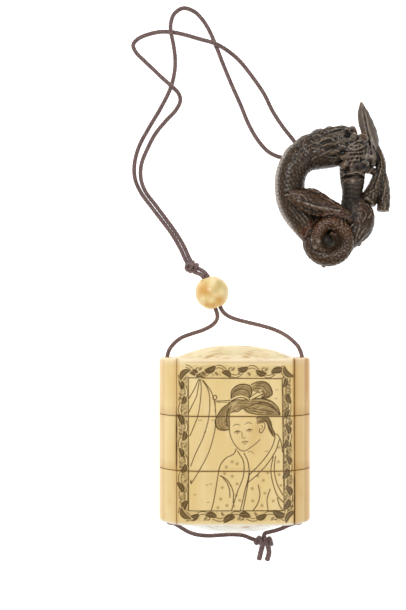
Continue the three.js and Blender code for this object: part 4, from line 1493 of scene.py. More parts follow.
# rows are x, y, z, half width and half height
neckAndRing = [
    [50.0, 120.6, 6.0, 6.0, 5.2], [45.0, 119.4, 6.4, 7.3, 6.2], [40.2, 118.1, 6.6, 8.2, 6.8],
    [36.4, 117.3, 6.6, 8.1, 6.9], [32.4, 116.2, 6.3, 7.5, 6.7], [28.2, 114.3, 6.1, 6.8, 6.4],
    [24.6, 110.4, 5.9, 6.3, 6.2], [22.9, 105.6, 5.8, 6.1, 6.1], [22.7, 101.2, 5.7, 6.0, 6.0],
    [23.0, 97.0, 5.6, 5.8, 5.9], [24.3, 93.2, 5.4, 5.7, 5.7], [26.4, 89.6, 5.2, 5.4, 5.4],
    [28.7, 86.3, 4.8, 5.0, 5.0],
]

limbRows = {
    "foreleg": [
        [19.6, 99.4, 7.4, 1.4, 2.4], [23.6, 97.6, 9.4, 3.6, 3.2], [28.6, 95.8, 10.6, 4.8, 3.0],
        [33.8, 94.2, 10.6, 4.6, 2.8], [38.8, 92.4, 9.8, 3.8, 2.8], [43.8, 90.4, 8.6, 3.2, 2.8],
        [48.4, 88.4, 7.4, 3.0, 2.8],
    ],
    "flame": [
        [27.4, 97.4, 11.2, 1.8, 1.4], [30.6, 98.9, 11.4, 1.8, 1.4], [35.2, 97.4, 10.6, 1.5, 1.3],
        [39.8, 95.2, 9.6, 0.5, 0.6],
    ],
    "throat": [
        [48.2, 110.0, 6.8, 5.2, 4.6], [48.3, 104.4, 6.2, 4.9, 4.4], [48.3, 99.4, 5.8, 4.1, 4.0],
        [48.1, 95.0, 5.6, 4.3, 4.0], [49.2, 90.5, 5.6, 5.4, 4.6],
    ],
    "haunch": [
        [48.6, 95.2, 5.6, 4.4, 4.2], [51.0, 91.0, 6.2, 5.6, 5.2], [51.6, 86.8, 6.2, 5.6, 5.4],
        [49.4, 82.8, 5.8, 4.8, 4.8], [46.4, 79.2, 4.6, 3.6, 3.8], [43.0, 76.0, 3.4, 2.4, 2.6],
    ],
    "horn": [
        [52.1, 136.9, 4.6, 0.25, 0.4], [52.7, 132.9, 4.8, 2.0, 1.4], [53.5, 129.4, 5.2, 2.75, 1.8],
        [54.6, 126.0, 5.7, 3.05, 2.1], [55.7, 122.6, 6.1, 3.0, 2.4], [56.3, 118.6, 6.5, 2.7, 2.7],
        [56.5, 114.4, 6.7, 2.2, 2.8], [56.0, 110.4, 6.4, 1.6, 2.4],
    ],
    "arm": [
        [56.8, 118.6, 6.0, 2.0, 2.4], [59.1, 115.0, 6.0, 1.7, 2.6], [60.1, 110.8, 5.8, 1.9, 2.8],
        [59.4, 106.0, 5.4, 2.7, 3.0], [57.8, 101.2, 5.0, 3.2, 3.4], [54.4, 95.6, 5.2, 3.6, 3.8],
    ],
    "cheek": [
        [52.0, 110.6, 8.4, 1.7, 1.8], [56.0, 108.4, 6.6, 1.5, 1.8], [59.4, 107.2, 5.4, 1.4, 1.8],
    ],
    "sleeve": [
        [60.4, 108.6, 5.4, 1.4, 2.2], [61.2, 103.4, 5.4, 2.1, 3.0], [61.4, 97.8, 5.2, 2.4, 3.4],
        [61.0, 92.0, 5.2, 2.5, 3.4],
    ],
}

# centre, then half sizes
headForms = [
    [(48.4, 116.0, 9.6), (6.7, 5.6, 5.2)], [(48.5, 109.4, 9.4), (5.6, 4.8, 4.8)],
    [(48.5, 107.4, 12.2), (3.6, 1.9, 2.0)], [(48.4, 104.9, 8.6), (3.4, 1.9, 2.6)],
    [(44.6, 113.0, 13.4), (2.7, 1.4, 1.7)], [(52.3, 113.0, 13.4), (2.7, 1.4, 1.7)],
    [(45.0, 110.9, 12.9), (1.4, 1.3, 1.3)], [(52.0, 110.9, 12.9), (1.4, 1.3, 1.3)],
    [(43.6, 119.0, 12.0), (2.4, 2.2, 2.0)], [(47.4, 120.6, 12.0), (2.4, 2.2, 2.0)],
    [(51.4, 120.4, 12.0), (2.4, 2.2, 2.0)],
]
lowForms = [
    [(31.6, 89.4, 3.6), (6.6, 5.4, 3.8)], [(41.0, 88.4, 3.4), (7.4, 3.6, 3.6)],
    [(38.6, 79.2, 3.2), (6.4, 6.4, 3.4)],
]


# the tail winds up on to its own coil, then sinks and narrows into the middle
def coilRows():
    rows, count = [], 18
    for index in range(count + 1):
        part = index / count
        angle = math.radians(dragon["coilStart"] + part * dragon["coilTurns"] * 360)
        climb = math.sin(min(1.0, part / 0.45) * math.pi / 2)
        inward = max(0.0, part - 0.35) / 0.65
        reach = dragon["coilReach"] * (1 - 0.55 * inward)
        tall = 1 + dragon["coilStretch"] * max(0.0, math.sin(angle))
        height = dragon["coilBase"] + dragon["coilRise"] * climb - dragon["coilSink"] * inward
        girth = dragon["coilGirth"] * (1 - 0.66 * part**0.75)
        x = dragon["coilCentre"][0] + reach * math.cos(angle)
        y = dragon["coilCentre"][1] + reach * tall * math.sin(angle)
        rows.append([x, y, height, girth, girth])
    return rows


kinds = ["body", "foreleg", "flame", "throat", "haunch", "horn", "arm", "cheek", "sleeve", "lock", "plain"]
# every form adds its faces, its points, and for each point the kind and its place on the form
formKeys = ["points", "kind", "along", "around", "alongWay", "aroundWay"]
forms = {key: [] for key in ["faces", *formKeys]}


# places are how far along and around the form each point is, and the ways in which that grows
def addForm(kind, points, faces, *places):
    first = sum(len(block) for block in forms["points"])
    forms["faces"] += [block + first for block in faces]
    for key, values in zip(formKeys, (points, np.full(len(points), kinds.index(kind)), *places)):
        forms[key].append(values)


def spineFrames(rows, perSpan):
    line = throughPoints(rows, perSpan)
    way = unitRows(np.gradient(line[:, :3], axis=0))
    across = unitRows(np.cross(way, [0.0, 0.0, 1.0]))
    return {
        "place": line[:, :3],
        "way": way,
        "across": across,
        "rise": np.cross(across, way),
        "half": np.maximum(line[:, 3:], 0.12),
        "travelled": lengthsAlong(line[:, :3]),
    }


# rows of oval sections, lofted on a smooth line
def addLimb(kind, rows, sides=44, step=0.5):
    length = lengthsAlong(np.array(rows)[:, :3])[-1]
    spine = spineFrames(rows, max(4, int(length / (len(rows) - 1) / step)))
    turn = np.linspace(0, 2 * np.pi, sides, endpoint=False)
    cos, sin = np.cos(turn)[None, :, None], np.sin(turn)[None, :, None]
    across, rise = spine["across"][:, None], spine["rise"][:, None]
    wide, tall = spine["half"][:, None, :1], spine["half"][:, None, 1:]
    points = spine["place"][:, None] + across * cos * wide + rise * sin * tall
    aroundWay = -across * sin * wide + rise * cos * tall
    aroundWay = aroundWay / np.linalg.norm(aroundWay, axis=-1, keepdims=True) ** 2
    faces = loftFaces(*points.shape[:2], flip=True)
    along, around = np.repeat(spine["travelled"], sides), np.tile(turn, len(points))
    alongWay = np.repeat(spine["way"], sides, axis=0)
    addForm(kind, points.reshape(-1, 3), faces, along, around, alongWay, aroundWay.reshape(-1, 3))


def addEllipsoid(centre, half, rings=24, sides=36):
    down = np.linspace(0.03, np.pi - 0.03, rings)[:, None]
    turn = np.linspace(0, 2 * np.pi, sides, endpoint=False)[None, :]
    unit = np.stack([np.sin(down) * np.cos(turn), np.sin(down) * np.sin(turn), np.cos(down) + 0 * turn], -1)
    points = (np.array(centre) + unit * np.array(half)).reshape(-1, 3)
    none, noWay = np.zeros(len(points)), np.zeros_like(points)
    addForm("plain", points, loftFaces(rings, sides, flip=True), none, none, noWay, noWay)


bodyRows = [*neckAndRing, *coilRows()]
spine = spineFrames(bodyRows, 12)
coilFrom = spine["travelled"][12 * (len(neckAndRing) - 1)]


# a lock of mane that lies on the body and narrows to a point; side runs from -1 to 1 across it
def addBodyLock(start, end, side, drift, width):
    rows = []
    for part in (0, 0.35, 0.7, 1):
        index = int(round((start + (end - start) * part) * (len(spine["place"]) - 1)))
        wide, tall = spine["half"][index]
        offset = side + drift * part
        lift = tall * math.sqrt(max(0.0, 1 - offset * offset)) * 0.96
        x, y, z = spine["place"][index] + spine["across"][index] * wide * offset * 0.94
        girth = width * (1 - 0.85 * part * part)
        rows.append([x, y, z + lift, girth, girth * 0.8])
    addLimb("lock", rows, 24, 0.4)


def addTuft(x, y, z, heading, length, width):
    angle = math.radians(heading)
    rows = []
    for part in (0, 0.42, 0.72, 0.88):
        half = width * (1 - 0.82 * part * part)
        reach = length * part
        rows.append([x + reach * math.cos(angle), y + reach * math.sin(angle), z, half, half])
    addLimb("lock", rows, 24, 0.35)


# a small curl of mane or whisker: a flat spiral that rises to its middle
def addCurl(x, y, z, reach, turns, start, width):
    rows = []
    for part in np.linspace(0, 1, 7):
        angle = math.radians(start) + part * turns * 2 * math.pi
        radius = reach * (1 - 0.75 * part)
        half = width * (1 - 0.35 * part)
        place = [x + radius * math.cos(angle), y + radius * math.sin(angle), z + 0.5 * part]
        rows.append([*place, half, half])
    addLimb("lock", rows, 12, 0.3)


# start and end along the body, side, drift across it and width
bodyLocks = [
    (0.026, 0.131, 0.72, 0.12, 1.7), (0.026, 0.148, 0.42, -0.12, 1.9), (0.026, 0.122, 0.04, -0.02, 2.0),
    (0.026, 0.131, -0.34, -0.06, 1.9), (0.026, 0.105, -0.66, -0.08, 1.6),
]
# x, y, z, heading, length and width
tufts = [
    (53.2, 88.4, 5.2, -44, 4.8, 2.2), (51.8, 84.6, 5.0, -44, 5.0, 2.1), (48.8, 81.2, 4.6, -46, 5.0, 2.0),
    (45.6, 78.2, 4.2, -50, 4.4, 1.9), (42.4, 75.2, 3.6, -60, 3.6, 1.8), (37.4, 71.8, 4.0, -104, 3.3, 1.4),
]
# x, y, z, reach, turns, start and width
curls = [
    (42.6, 120.6, 13.3, 1.6, 1.3, 30, 0.6), (42.9, 117.2, 13.6, 1.6, 1.3, -30, 0.6),
    (47.5, 120.4, 13.7, 1.6, 1.3, 60, 0.55), (51.2, 119.8, 13.3, 1.4, 1.2, 120, 0.55),
    (44.9, 123.6, 12.0, 1.7, 0.9, 200, 0.6), (41.9, 113.6, 12.4, 1.3, 1.1, -40, 0.5),
    (53.2, 116.4, 12.6, 1.2, -1.1, 220, 0.5), (49.8, 117.4, 14.3, 1.3, -1.2, 20, 0.5),
    (43.7, 107.4, 11.2, 1.0, 1.0, 90, 0.45), (53.6, 107.4, 11.0, 1.0, -1.0, 90, 0.45),
]
# rows of knobs over the brows and down the bridge of the nose: start and count
knobRows = [(44.6, 114.2, 7), (45.2, 112.7, 6), (46.2, 111.3, 4)]

addLimb("body", bodyRows, 56, 0.45)
for kind, rows in limbRows.items():
    addLimb(kind, rows)
for centre, half in headForms + lowForms:
    addEllipsoid(centre, half)
for addDetail, table in ((addBodyLock, bodyLocks), (addTuft, tufts), (addCurl, curls)):
    for row in table:
        addDetail(*row)
for row, (x, y, count) in enumerate(knobRows):
    for step in range(count):
        lift = 14.75 - 0.045 * (step - count / 2) ** 2 - 0.22 * row
        addEllipsoid((x + 1.12 * step, y + 0.1 * step, lift), (0.58, 0.58, 0.7), 10, 14)
# eyes and nostrils
addEllipsoid((44.6, 109.6, 12.2), (2.1, 2.0, 1.9), 16, 20)
addEllipsoid((52.6, 110.4, 12.0), (1.5, 1.6, 1.6), 16, 20)
for offset in (-1.5, 1.5):
    addEllipsoid((48.2 + offset, 106.9, 13.2), (1.2, 1.0, 1.0), 12, 16)


# one skin over all forms, as points, normals, quads and edges
def remeshed(points, faces):
    mesh = bpy.data.meshes.new("forms")
    mesh.from_pydata((points * mm).tolist(), [], [row for block in faces for row in block.tolist()])
    piece = bpy.data.objects.new("forms", mesh)
    bpy.context.scene.collection.objects.link(piece)
    modifier = piece.modifiers.new("union", "REMESH")
    modifier.mode = "VOXEL"
    modifier.voxel_size = dragon["voxel"] * mm
    joined = evaluatedMesh(piece)
    bpy.data.objects.remove(piece)
    places, normals = np.empty((2, len(joined.vertices) * 3))
    joined.vertices.foreach_get("co", places)
    joined.vertices.foreach_get("normal", normals)
    quads = np.array([list(polygon.vertices) for polygon in joined.polygons])
    edges = np.empty(len(joined.edges) * 2, np.int32)
    joined.edges.foreach_get("vertices", edges)
    return places.reshape(-1, 3) / mm, normals.reshape(-1, 3), quads, edges.reshape(-1, 2)


# each round moves every value towards those at the other ends of its edges
def averaged(values, edges, rounds):
    count = np.bincount(edges.ravel(), minlength=len(values)).astype(float)
    for _ in range(rounds):
        total = np.zeros_like(values)
        for axis in range(values.shape[1]):
            total[:, axis] = np.bincount(edges[:, 0], values[edges[:, 1], axis], len(values))
            total[:, axis] += np.bincount(edges[:, 1], values[edges[:, 0], axis], len(values))
        values = 0.4 * values + 0.6 * total / count[:, None]
    return values


# overlapping scales in staggered rows; along and around count scales
def scales(along, around):
    row = np.floor(along)
    height = np.zeros_like(along)
    done = np.zeros(along.shape, bool)
    for back in (1, 0):
        line = row - back
        across = np.mod(around + 0.5 * np.mod(line, 2), 1) - 0.5
        reach = (along - line) + 0.5 * (2 * across) ** 2
        here = (reach < 1.5) & ~done
        keel = 0.25 * smoothstep(0.12, 0.0, np.abs(across))
        scale = (reach / 1.5) * (1 - 1.2 * across**2) + keel * reach / 1.5
        height = np.where(here, scale, height)
        done |= here
    return height


# distance in the ground plane to a smooth line, as a ridge from 0 to 1
def ridge(points, line, width):
    curve = evenly(throughPoints(line, 8), 0.4)
    low, high = curve.min(axis=0) - 3 * width, curve.max(axis=0) + 3 * width
    near = np.where(np.all((points[:, :2] > low) & (points[:, :2] < high), axis=1))[0]
    flat = points[near, :2]
    best = np.full(len(points), 99.0)
    for a, b in zip(curve[:-1], curve[1:]):
        span = b - a
        t = np.clip((flat - a) @ span / (span @ span), 0, 1)
        best[near] = np.minimum(best[near], np.linalg.norm(flat - a - t[:, None] * span, axis=1))
    return np.exp(-((best / width) ** 2))


# strokes of the knife: a line, its half width, how far it stands out, how pale and how warm it is; the
# paleness is mostly painted highlight along the ridge, partly the carving's own pale tone
strokes = [
    # mane that swirls from the head over the neck
    ([(48.6, 122.1), (45.9, 124.0), (43.6, 124.6), (40.8, 124.4), (38.1, 123.6)], 0.42, 0.6, 0.35, 0.0),
    ([(41.7, 122.1), (39.9, 123.0), (37.1, 123.0),
      (35.3, 121.7), (33.0, 122.2), (30.7, 121.2)], 0.4, 0.6, 0.3, 0.0),
    ([(39.9, 119.6), (38.1, 120.3), (35.3, 119.8),
      (33.4, 118.2), (32.1, 118.5), (30.7, 119.6)], 0.4, 0.6, 0.38, 0.0),
    ([(41.6, 118.6), (39.9, 117.8), (37.1, 118.2),
      (35.3, 117.1), (33.0, 116.4), (31.1, 116.4)], 0.36, 0.5, 0.3, 0.0),
    ([(41.7, 115.0), (39.0, 115.9), (37.1, 115.0), (33.9, 115.9), (32.1, 115.0)], 0.36, 0.5, 0.25, 0.0),
    ([(41.4, 112.6), (38.1, 112.9), (35.3, 113.5), (32.5, 112.9), (30.9, 111.9)], 0.34, 0.4, 0.16, 0.0),
    ([(28.4, 120.0), (27.5, 118.2), (28.6, 115.9), (29.8, 114.1)], 0.36, 0.4, 0.18, 0.0),
    ([(26.2, 117.2), (26.4, 114.8), (27.8, 112.4)], 0.34, 0.35, 0.12, 0.2),
    # brows, curls and the band across the forehead
    ([(41.7, 117.6), (44.5, 116.9), (47.3, 118.2), (49.1, 119.2), (51.4, 119.6)], 0.42, 0.55, 0.4, 0.1),
    ([(45.6, 116.4), (47.6, 115.6), (49.8, 116.0), (52.0, 117.6)], 0.42, 0.6, 0.4, 0.1),
    ([(46.0, 118.2), (48.0, 117.4), (50.4, 117.6), (52.4, 119.2)], 0.36, 0.5, 0.3, 0.3),
    ([(43.2, 119.6), (44.8, 120.6), (46.2, 119.2), (45.0, 118.0)], 0.34, 0.5, 0.35, 0.0),
    ([(43.0, 123.4), (45.0, 124.2), (47.4, 123.2), (48.9, 121.4)], 0.3, 0.5, 0.45, 0.0),
    ([(49.6, 114.6), (48.0, 112.2), (46.6, 109.9), (46.2, 108.2)], 0.5, 0.45, 0.25, 0.6),
    # lips, chin and the long tooth
    ([(42.7, 104.9), (44.5, 106.2), (46.8, 106.0), (48.6, 106.7),
      (50.5, 106.2), (52.8, 106.2), (55.1, 107.4)], 0.32, 0.75, 0.5, 0.2),
    ([(55.2, 107.6), (56.3, 109.2), (57.4, 111.2)], 0.42, 0.6, 0.9, 0.0),
    ([(44.0, 103.0), (45.4, 104.2), (47.7, 103.7), (50.5, 103.9), (51.9, 105.2)], 0.36, 0.5, 0.2, 0.4),
    ([(41.8, 109.5), (42.2, 105.8), (43.6, 102.6)], 0.3, 0.4, 0.35, 0.0),
    # horn and blade of the ear
    ([(52.6, 135.2), (54.0, 129.6), (55.1, 123.8), (56.5, 119.6), (57.4, 116.4)], 0.34, 0.4, 0.3, 0.0),
    ([(52.3, 111.3), (53.0, 115.0), (53.7, 118.2), (53.9, 121.9), (53.3, 124.7)], 0.34, 0.5, 0.5, 0.1),
    ([(53.9, 109.6), (54.8, 112.6), (55.6, 116.2)], 0.75, 0.5, 0.62, 0.0),
    ([(50.2, 122.9), (51.6, 123.2), (52.8, 122.2)], 0.6, 0.3, 0.2, 1.0),
    # foreleg: a long edge, a flame and hair beneath
    ([(20.4, 97.9), (24.3, 98.2), (27.5, 97.4), (28.9, 95.4)], 0.42, 0.5, 0.3, 0.3),
    ([(28.0, 94.6), (31.2, 93.4), (35.0, 92.6), (38.7, 92.0), (42.6, 91.4)], 0.5, 0.6, 0.8, 0.3),
    ([(30.6, 100.2), (33.2, 99.2), (36.2, 96.6), (39.6, 94.8), (43.4, 92.6)], 0.36, 0.45, 0.25, 0.5),
    ([(25.6, 92.2), (28.4, 89.6), (30.6, 87.4)], 0.34, 0.4, 0.2, 0.0),
    ([(23.6, 92.6), (26.4, 89.6), (28.6, 86.8)], 0.34, 0.4, 0.22, 0.0),
    ([(21.8, 93.4), (24.4, 89.9), (26.4, 87.0)], 0.34, 0.4, 0.2, 0.0),
    # haunch: swirls and tufts that end in pale strokes
    ([(50.0, 94.8), (54.2, 94.0), (55.5, 91.4), (54.1, 88.7)], 0.4, 0.5, 0.2, 0.4),
    ([(49.0, 92.4), (51.8, 92.0), (53.0, 89.8), (51.8, 87.4)], 0.36, 0.45, 0.12, 0.5),
    ([(49.6, 88.6), (50.6, 85.6), (49.6, 82.4), (49.0, 78.6)], 0.36, 0.5, 0.35, 0.0),
    ([(50.2, 80.6), (51.4, 82.8), (52.8, 84.6)], 0.34, 0.5, 0.5, 0.0),
    ([(50.9, 79.2), (53.0, 81.6), (55.0, 83.6)], 0.34, 0.5, 0.55, 0.0),
    ([(51.2, 78.2), (53.6, 79.6), (55.7, 81.2)], 0.32, 0.45, 0.45, 0.0),
    ([(50.2, 77.2), (52.0, 77.5), (53.6, 78.4)], 0.32, 0.45, 0.5, 0.0),
    # arm and sleeve
    ([(59.7, 115.8), (61.1, 111.1), (62.2, 104.6), (62.9, 98.4)], 0.3, 0.35, 0.4, 0.0),
    ([(60.7, 105.6), (59.9, 102.2), (59.2, 98.6)], 0.4, 0.35, 0.3, 0.0),
    ([(62.0, 102.7), (61.0, 99.6), (60.2, 96.4)], 0.32, 0.35, 0.38, 0.0),
    ([(62.6, 98.1), (61.8, 95.4), (61.0, 92.6)], 0.3, 0.3, 0.25, 0.0),
    ([(56.2, 96.8), (56.8, 99.0)], 0.4, 0.35, 0.45, 0.0),
    # tail: a wavy crest and the rim of its lowest turn
    ([(37.8, 84.6), (40.1, 84.1), (42.0, 84.7),
      (44.3, 84.0), (46.6, 84.8), (48.0, 86.2)], 0.32, 0.5, 0.45, 0.3),
    ([(28.6, 81.0), (30.3, 84.5), (32.6, 87.3),
      (35.9, 89.5), (39.6, 90.4), (43.8, 90.4)], 0.4, 0.4, 0.2, 0.9),
    # cuts: along the horn, between lip and chin, down the arm, through the crest
    ([(52.9, 134.4), (53.4, 129.0), (54.0, 124.0), (54.9, 118.8)], 0.3, -0.5, 0.0, 0.0),
    ([(43.6, 105.3), (46.0, 105.2), (48.4, 105.7), (50.8, 105.1), (53.2, 105.3)], 0.4, -0.8, 0.0, 0.0),
    ([(56.4, 117.6), (58.6, 113.8), (59.0, 110.4), (58.0, 106.0), (56.4, 101.0)], 0.36, -0.6, 0.0, 0.0),
    ([(42.4, 87.8), (42.4, 85.5)], 0.34, -0.8, 0.0, 0.0),
    ([(43.9, 88.0), (44.1, 85.5)], 0.34, -0.8, 0.0, 0.0),
    ([(45.3, 88.0), (45.6, 85.5)], 0.34, -0.8, 0.0, 0.0),
    ([(28.2, 92.4), (31.8, 90.9), (35.0, 90.6)], 0.6, -0.7, 0.0, 0.0),
]

# places that are hollowed or left proud: x, y, radius, height, how pale (partly painted highlight, as on the
# chin), how warm and how dark (painted shade in the hollows)
spots = [
    (45.4, 122.2, 1.5, -0.8, 0.0, 0.0, 0.6),
    (42.9, 114.6, 1.1, -0.5, 0.0, 0.0, 0.4),
    (49.4, 108.7, 1.3, -0.6, 0.0, 0.0, 0.8),
    (51.8, 109.0, 1.0, -0.4, 0.0, 0.0, 0.6),
    (44.3, 110.2, 1.9, 0.2, 0.12, 0.7, 0.0),
    (44.9, 108.2, 1.0, -0.6, 0.0, 0.0, 0.6),
    (47.6, 112.8, 3.0, 0.0, 0.26, 0.3, 0.0),
    (47.4, 118.4, 3.2, 0.0, 0.22, 0.2, 0.0),
    (52.6, 112.6, 2.2, 0.0, 0.24, 0.0, 0.0),
    (42.4, 120.4, 2.6, 0.0, 0.22, 0.0, 0.0),
    (47.6, 104.4, 2.4, 0.0, 0.12, 0.2, 0.0),
    (47.7, 103.5, 0.8, 0.5, 0.45, 0.5, 0.0),
    (51.2, 123.2, 1.9, 0.0, 0.0, 1.0, 0.0),
    (47.9, 98.0, 4.2, 0.0, 0.0, 0.0, 0.6),
    (46.4, 95.4, 2.6, -0.3, 0.0, 0.0, 0.7),
    (38.6, 79.0, 2.6, -0.9, 0.0, 0.0, 0.35),
    (42.6, 79.0, 2.4, -0.3, 0.0, 0.0, 0.7),
    (39.8, 82.6, 1.6, -0.2, 0.0, 0.0, 0.5),
    (33.9, 79.2, 0.8, 0.4, 0.5, 0.0, 0.0),
    (32.6, 76.9, 0.7, 0.35, 0.45, 0.0, 0.0),
    (31.2, 80.0, 0.6, 0.3, 0.3, 0.2, 0.0),
    (31.6, 89.6, 2.2, -0.3, 0.0, 0.0, 0.8),
]


# the kind of the nearest form, and the point's place along and around it
def placesOnForms(points):
    source = np.concatenate(forms["points"])
    tree = kdtree.KDTree(len(source))
    for index, place in enumerate(source):
        tree.insert(place, index)
    tree.balance()
    nearest = np.array([tree.find(place)[1] for place in points])
    kind, along, around, alongWay, aroundWay = [np.concatenate(forms[key])[nearest] for key in formKeys[1:]]
    shift = points - source[nearest]
    along = along + np.einsum("ij,ij->i", shift, alongWay)
    around = around + np.einsum("ij,ij->i", shift, aroundWay)
    return kind, along, np.mod(around + np.pi, 2 * np.pi) - np.pi


# rounded bands across a form, from 0 between them to 1 on their crests
def roundBands(along, length):
    return np.sqrt(np.clip(1 - (2 * np.mod(along / length, 1) - 1) ** 2, 0, 1))


# scales over the back, scutes along the outer edge, scallops behind the head
def bodySurface(points, along, around):
    travelled = spine["travelled"]
    isCoil = smoothstep(coilFrom - 3, coilFrom + 2, along)
    # rows are as long as a share of the body's thickness, and longer on the coil
    share = np.interp(travelled, [coilFrom - 3, coilFrom + 3], [0.27, 0.42])
    rowLength = spine["half"].mean(axis=1) * share
    rowsAlong = np.interp(along, travelled, np.cumsum(np.gradient(travelled) / rowLength))
    straying = 0.18 * wander(points, 3.0, 44)
    scalesAround = around / (2 * np.pi) * np.where(isCoil > 0.5, 13, 22)
    coat = scales(rowsAlong + straying, scalesAround + straying) - 0.4
    edge = np.radians(np.interp(along, [12, 24, coilFrom - 4, coilFrom + 9], [6, 37, 37, 2]))
    belly = smoothstep(edge + 0.05, edge - 0.05, around) * smoothstep(-1.9, -1.7, around)
    scutes = dragon["scuteDepth"] * (roundBands(along, dragon["scuteLength"]) - 0.5)
    rim = np.exp(-(((around - edge) / 0.07) ** 2))
    mane = smoothstep(19, 14, along)
    depth = dragon["scaleDepth"] * (1 + 0.25 * isCoil) * (1 - 0.75 * mane)
    relief = depth * coat * (1 - belly) + belly * scutes - dragon["bellyRim"] * rim * (1 - mane)
    behindHead = smoothstep(30, 26, along)
    scallop = np.abs(np.sin((along - 2) * np.pi / dragon["scallopLength"])) * behindHead
    scallop = scallop * np.cos(np.clip(around * 1.1, -1.5, 1.5))
    relief += 0.75 * (scallop - 0.5 * behindHead * (np.abs(around) < 1.4))
    fleck = 0.5 + 0.5 * smoothstep(-0.7, 0.3, wander(points, 1.0, 71))
    tone = belly * smoothstep(16, 28, along) * smoothstep(coilFrom + 9, coilFrom, along) * 0.85 * fleck
    # the tail is reddest where it passes over the top of its own coil
    overTop = isCoil * smoothstep(78, 84, points[:, 1])
    return relief, tone, 0.12 + 0.2 * isCoil + 0.65 * overTop


# striated hair, crosswise scutes on the throat, scales on arm and haunch
def limbReliefs(points, along, around):
    stray = wander(points, 2.4, 63)
    turns = around / (2 * np.pi)
    hairy = 0.14 * np.cos(around * 6 + 2.4 * stray)
    folds = 0.12 * np.cos(around * 5 + along * 0.8)
    return {
        "lock": 0.1 * np.cos(around * 4 + 2.2 * stray),
        "sleeve": 0.16 * np.cos(around * 8 + 3.0 * stray),
        "foreleg": hairy,
        "flame": hairy,
        "throat": 0.26 * (roundBands(along, 1.9) - 0.6),
        "arm": 0.28 * (scales(along / 1.5, turns * 12) - 0.4),
        "haunch": 0.2 * (scales(along / 1.7, turns * 18) - 0.4) + folds,
        "horn": 0.1 * np.cos(around * 4) + 0.06 * np.sin(along * 1.6),
    }


# how pale, how warm and how dark a whole form is; the dark is painted shade, as on the throat under the head
kindTones = {
    "horn": (0.22, 0.0, 0.0),
    "foreleg": (0.0, 0.34, 0.0),
    "flame": (0.0, 0.34, 0.0),
    "throat": (0.0, 0.0, 0.1),
    "haunch": (0.0, 0.22, 0.2),
}


# the cord's two bores sink into the outer edge of the neck
def sinkBores(points):
    for name in ("cord_netsuke_a", "cord_netsuke_b"):
        end, before = np.array(routes[name][-1]), np.array(routes[name][-3])
        inward = (end - before) / np.linalg.norm(end - before)
        offset = points - end
        depth = offset @ inward
        away = np.linalg.norm(offset - depth[:, None] * inward, axis=1)
        sink = smoothstep(1.65, 1.15, away) * (np.abs(depth) < 3.2)
        points = points + inward * (sink * np.clip(1.6 - depth, 0, 3.4))[:, None]
    return points


# how far the surface stands out from smoothed copies of itself; dirt and painted shade follow it into the
# hollows, rubbing and painted highlight on to the rises
def wearAndLightHeight(points, normals, edges):
    smooth = averaged(points, edges, 7)
    broad = averaged(smooth, edges, 40)
    fine = np.einsum("ij,ij->i", points - smooth, normals)
    deep = np.einsum("ij,ij->i", smooth - broad, normals)
    height = np.clip(fine / dragon["fineWear"] + deep / dragon["broadWear"], -1.4, 1.4)
    # the tip in the middle of the coil is handled most, and gets the most rubbing and painted highlight
    height += 0.7 * np.exp(-((points[:, 0] - 38.6) ** 2 + (points[:, 1] - 79.0) ** 2) / 5.8)
    return np.where(height > 0, 0.75 * height**2, height)


def carve(points, normals, edges):
    kind, along, around = placesOnForms(points)
    top = smoothstep(0.05, 0.45, normals[:, 2])
    relief, tone, warm, dark = np.zeros((4, len(points)))
    here = kind == kinds.index("body")
    for values, found in zip((relief, tone, warm), bodySurface(points, along, around)):
        values[here] = found[here]
    for name, found in limbReliefs(points, along, around).items():
        here = kind == kinds.index(name)
        relief[here] = found[here]
    for name, tones in kindTones.items():
        for values, amount in zip((tone, warm, dark), tones):
            values[kind == kinds.index(name)] = amount

    # the knife bites unevenly along a stroke
    bite = 0.6 + 0.4 * smoothstep(-0.5, 0.6, wander(points, 2.6, 52))
    for line, width, height, pale, red in strokes:
        mark = ridge(points, line, width) * top * bite
        relief += height * mark
        if height > 0:
            relief -= 0.6 * height * ridge(points, line, 2.1 * width) * top
        # painted highlight along the stroke's ridge
        tone += 0.8 * pale * mark * bite
        warm += red * ridge(points, line, 2.2 * width) * top
    for x, y, radius, height, pale, red, shade in spots:
        mark = np.exp(-(((points[:, 0] - x) ** 2 + (points[:, 1] - y) ** 2) / radius**2)) * top
        relief += height * mark
        tone += pale * mark
        warm += red * mark
        # painted shade in the hollows
        dark += shade * mark
    relief += dragon["toolMarks"] * wander(points, 2.6, 21)
    points = sinkBores(points + normals * relief[:, None])
    points[:, 2] = np.maximum(points[:, 2], 0.0)
    fields = {"relief": np.clip(wearAndLightHeight(points, normals, edges), -1.4, 1.4)}
    for key, values in (("tone", tone), ("warm", warm), ("dark", dark)):
        fields[key] = np.clip(values, -1.4, 1.0)
    return points, fields


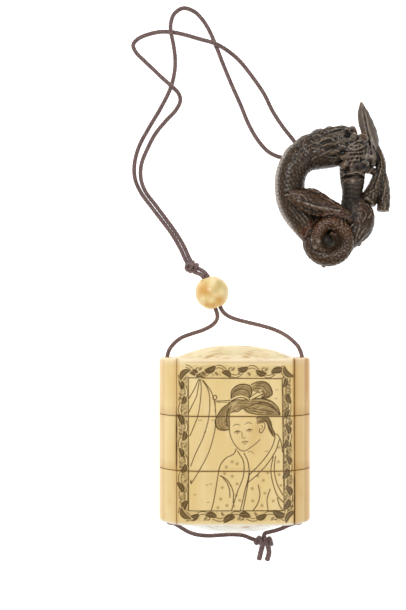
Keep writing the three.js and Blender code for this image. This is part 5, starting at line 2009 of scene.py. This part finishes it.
def woodMaterial(finish):
    material, tree, shader = startMaterial("stainedWood", finish["shader"])
    fibre = placeGroup(tree, grain, {"Scale": 700.0, "Stretch": 0.22, "Contrast": 2.0})
    cloudy = placeGroup(tree, blotches, {"Scale": 160.0, "Low": 0.36, "High": 0.66})
    wearAndLightSettings = {"Breakup Scale": 900.0, "Dirt": 1.4, "RubAndHighlight": 0.7}
    wearAndLight = placeGroup(tree, wearAndLightTree, wearAndLightSettings, {"Relief": fieldNode(tree, "relief")})
    colour = tint(tree, finish["wood"], fibre.outputs["Mask"], finish["hollow"], finish["fibreAmount"])
    colour = tint(tree, colour, cloudy.outputs["Mask"], finish["worn"], finish["cloudAmount"])
    colour = tint(tree, colour, fieldNode(tree, "warm"), finish["warm"], finish["warmAmount"])
    # painted shade in the hollows and under the head
    colour = tint(tree, colour, fieldNode(tree, "dark"), finish["deep"], finish["paintedShadeAmount"])
    # rubbed wear and painted highlight on the rises
    colour = tint(tree, colour, wearAndLight.outputs["RubAndHighlight Mask"], finish["worn"])
    # the pale belly, and painted highlights along the strokes and on the chin
    colour = tint(tree, colour, fieldNode(tree, "tone"), finish["paleAndHighlight"])
    # dirt and painted shade in the hollows
    colour = tint(tree, colour, wearAndLight.outputs["Dirt Mask"], finish["hollow"])
    tree.links.new(colour, shader.inputs["Base Color"])
    # rubbed places shine, and dark ones are matt
    polish = mathNode(tree, "MULTIPLY", wearAndLight.outputs["RubAndHighlight Mask"], -0.15)
    matt = mathNode(tree, "MULTIPLY", fieldNode(tree, "dark"), 0.35)
    change = mathNode(tree, "ADD", polish, matt)
    tree.links.new(mathNode(tree, "ADD", change, finish["gloss"]), shader.inputs["Roughness"])
    addBump(tree, shader, fibre.outputs["Height"], 0.00007, 0.5)
    return material


places, normals, quads, edges = remeshed(np.concatenate(forms["points"]), forms["faces"])
carved, fields = carve(places, normals, edges)
stainedWood = woodMaterial(dragon)
makePiece("dragon_toggle", carved, [quads], stainedWood, ["dragon_netsuke"], 180, fields)
print(f"dragon toggle is carved, {len(quads)} faces")
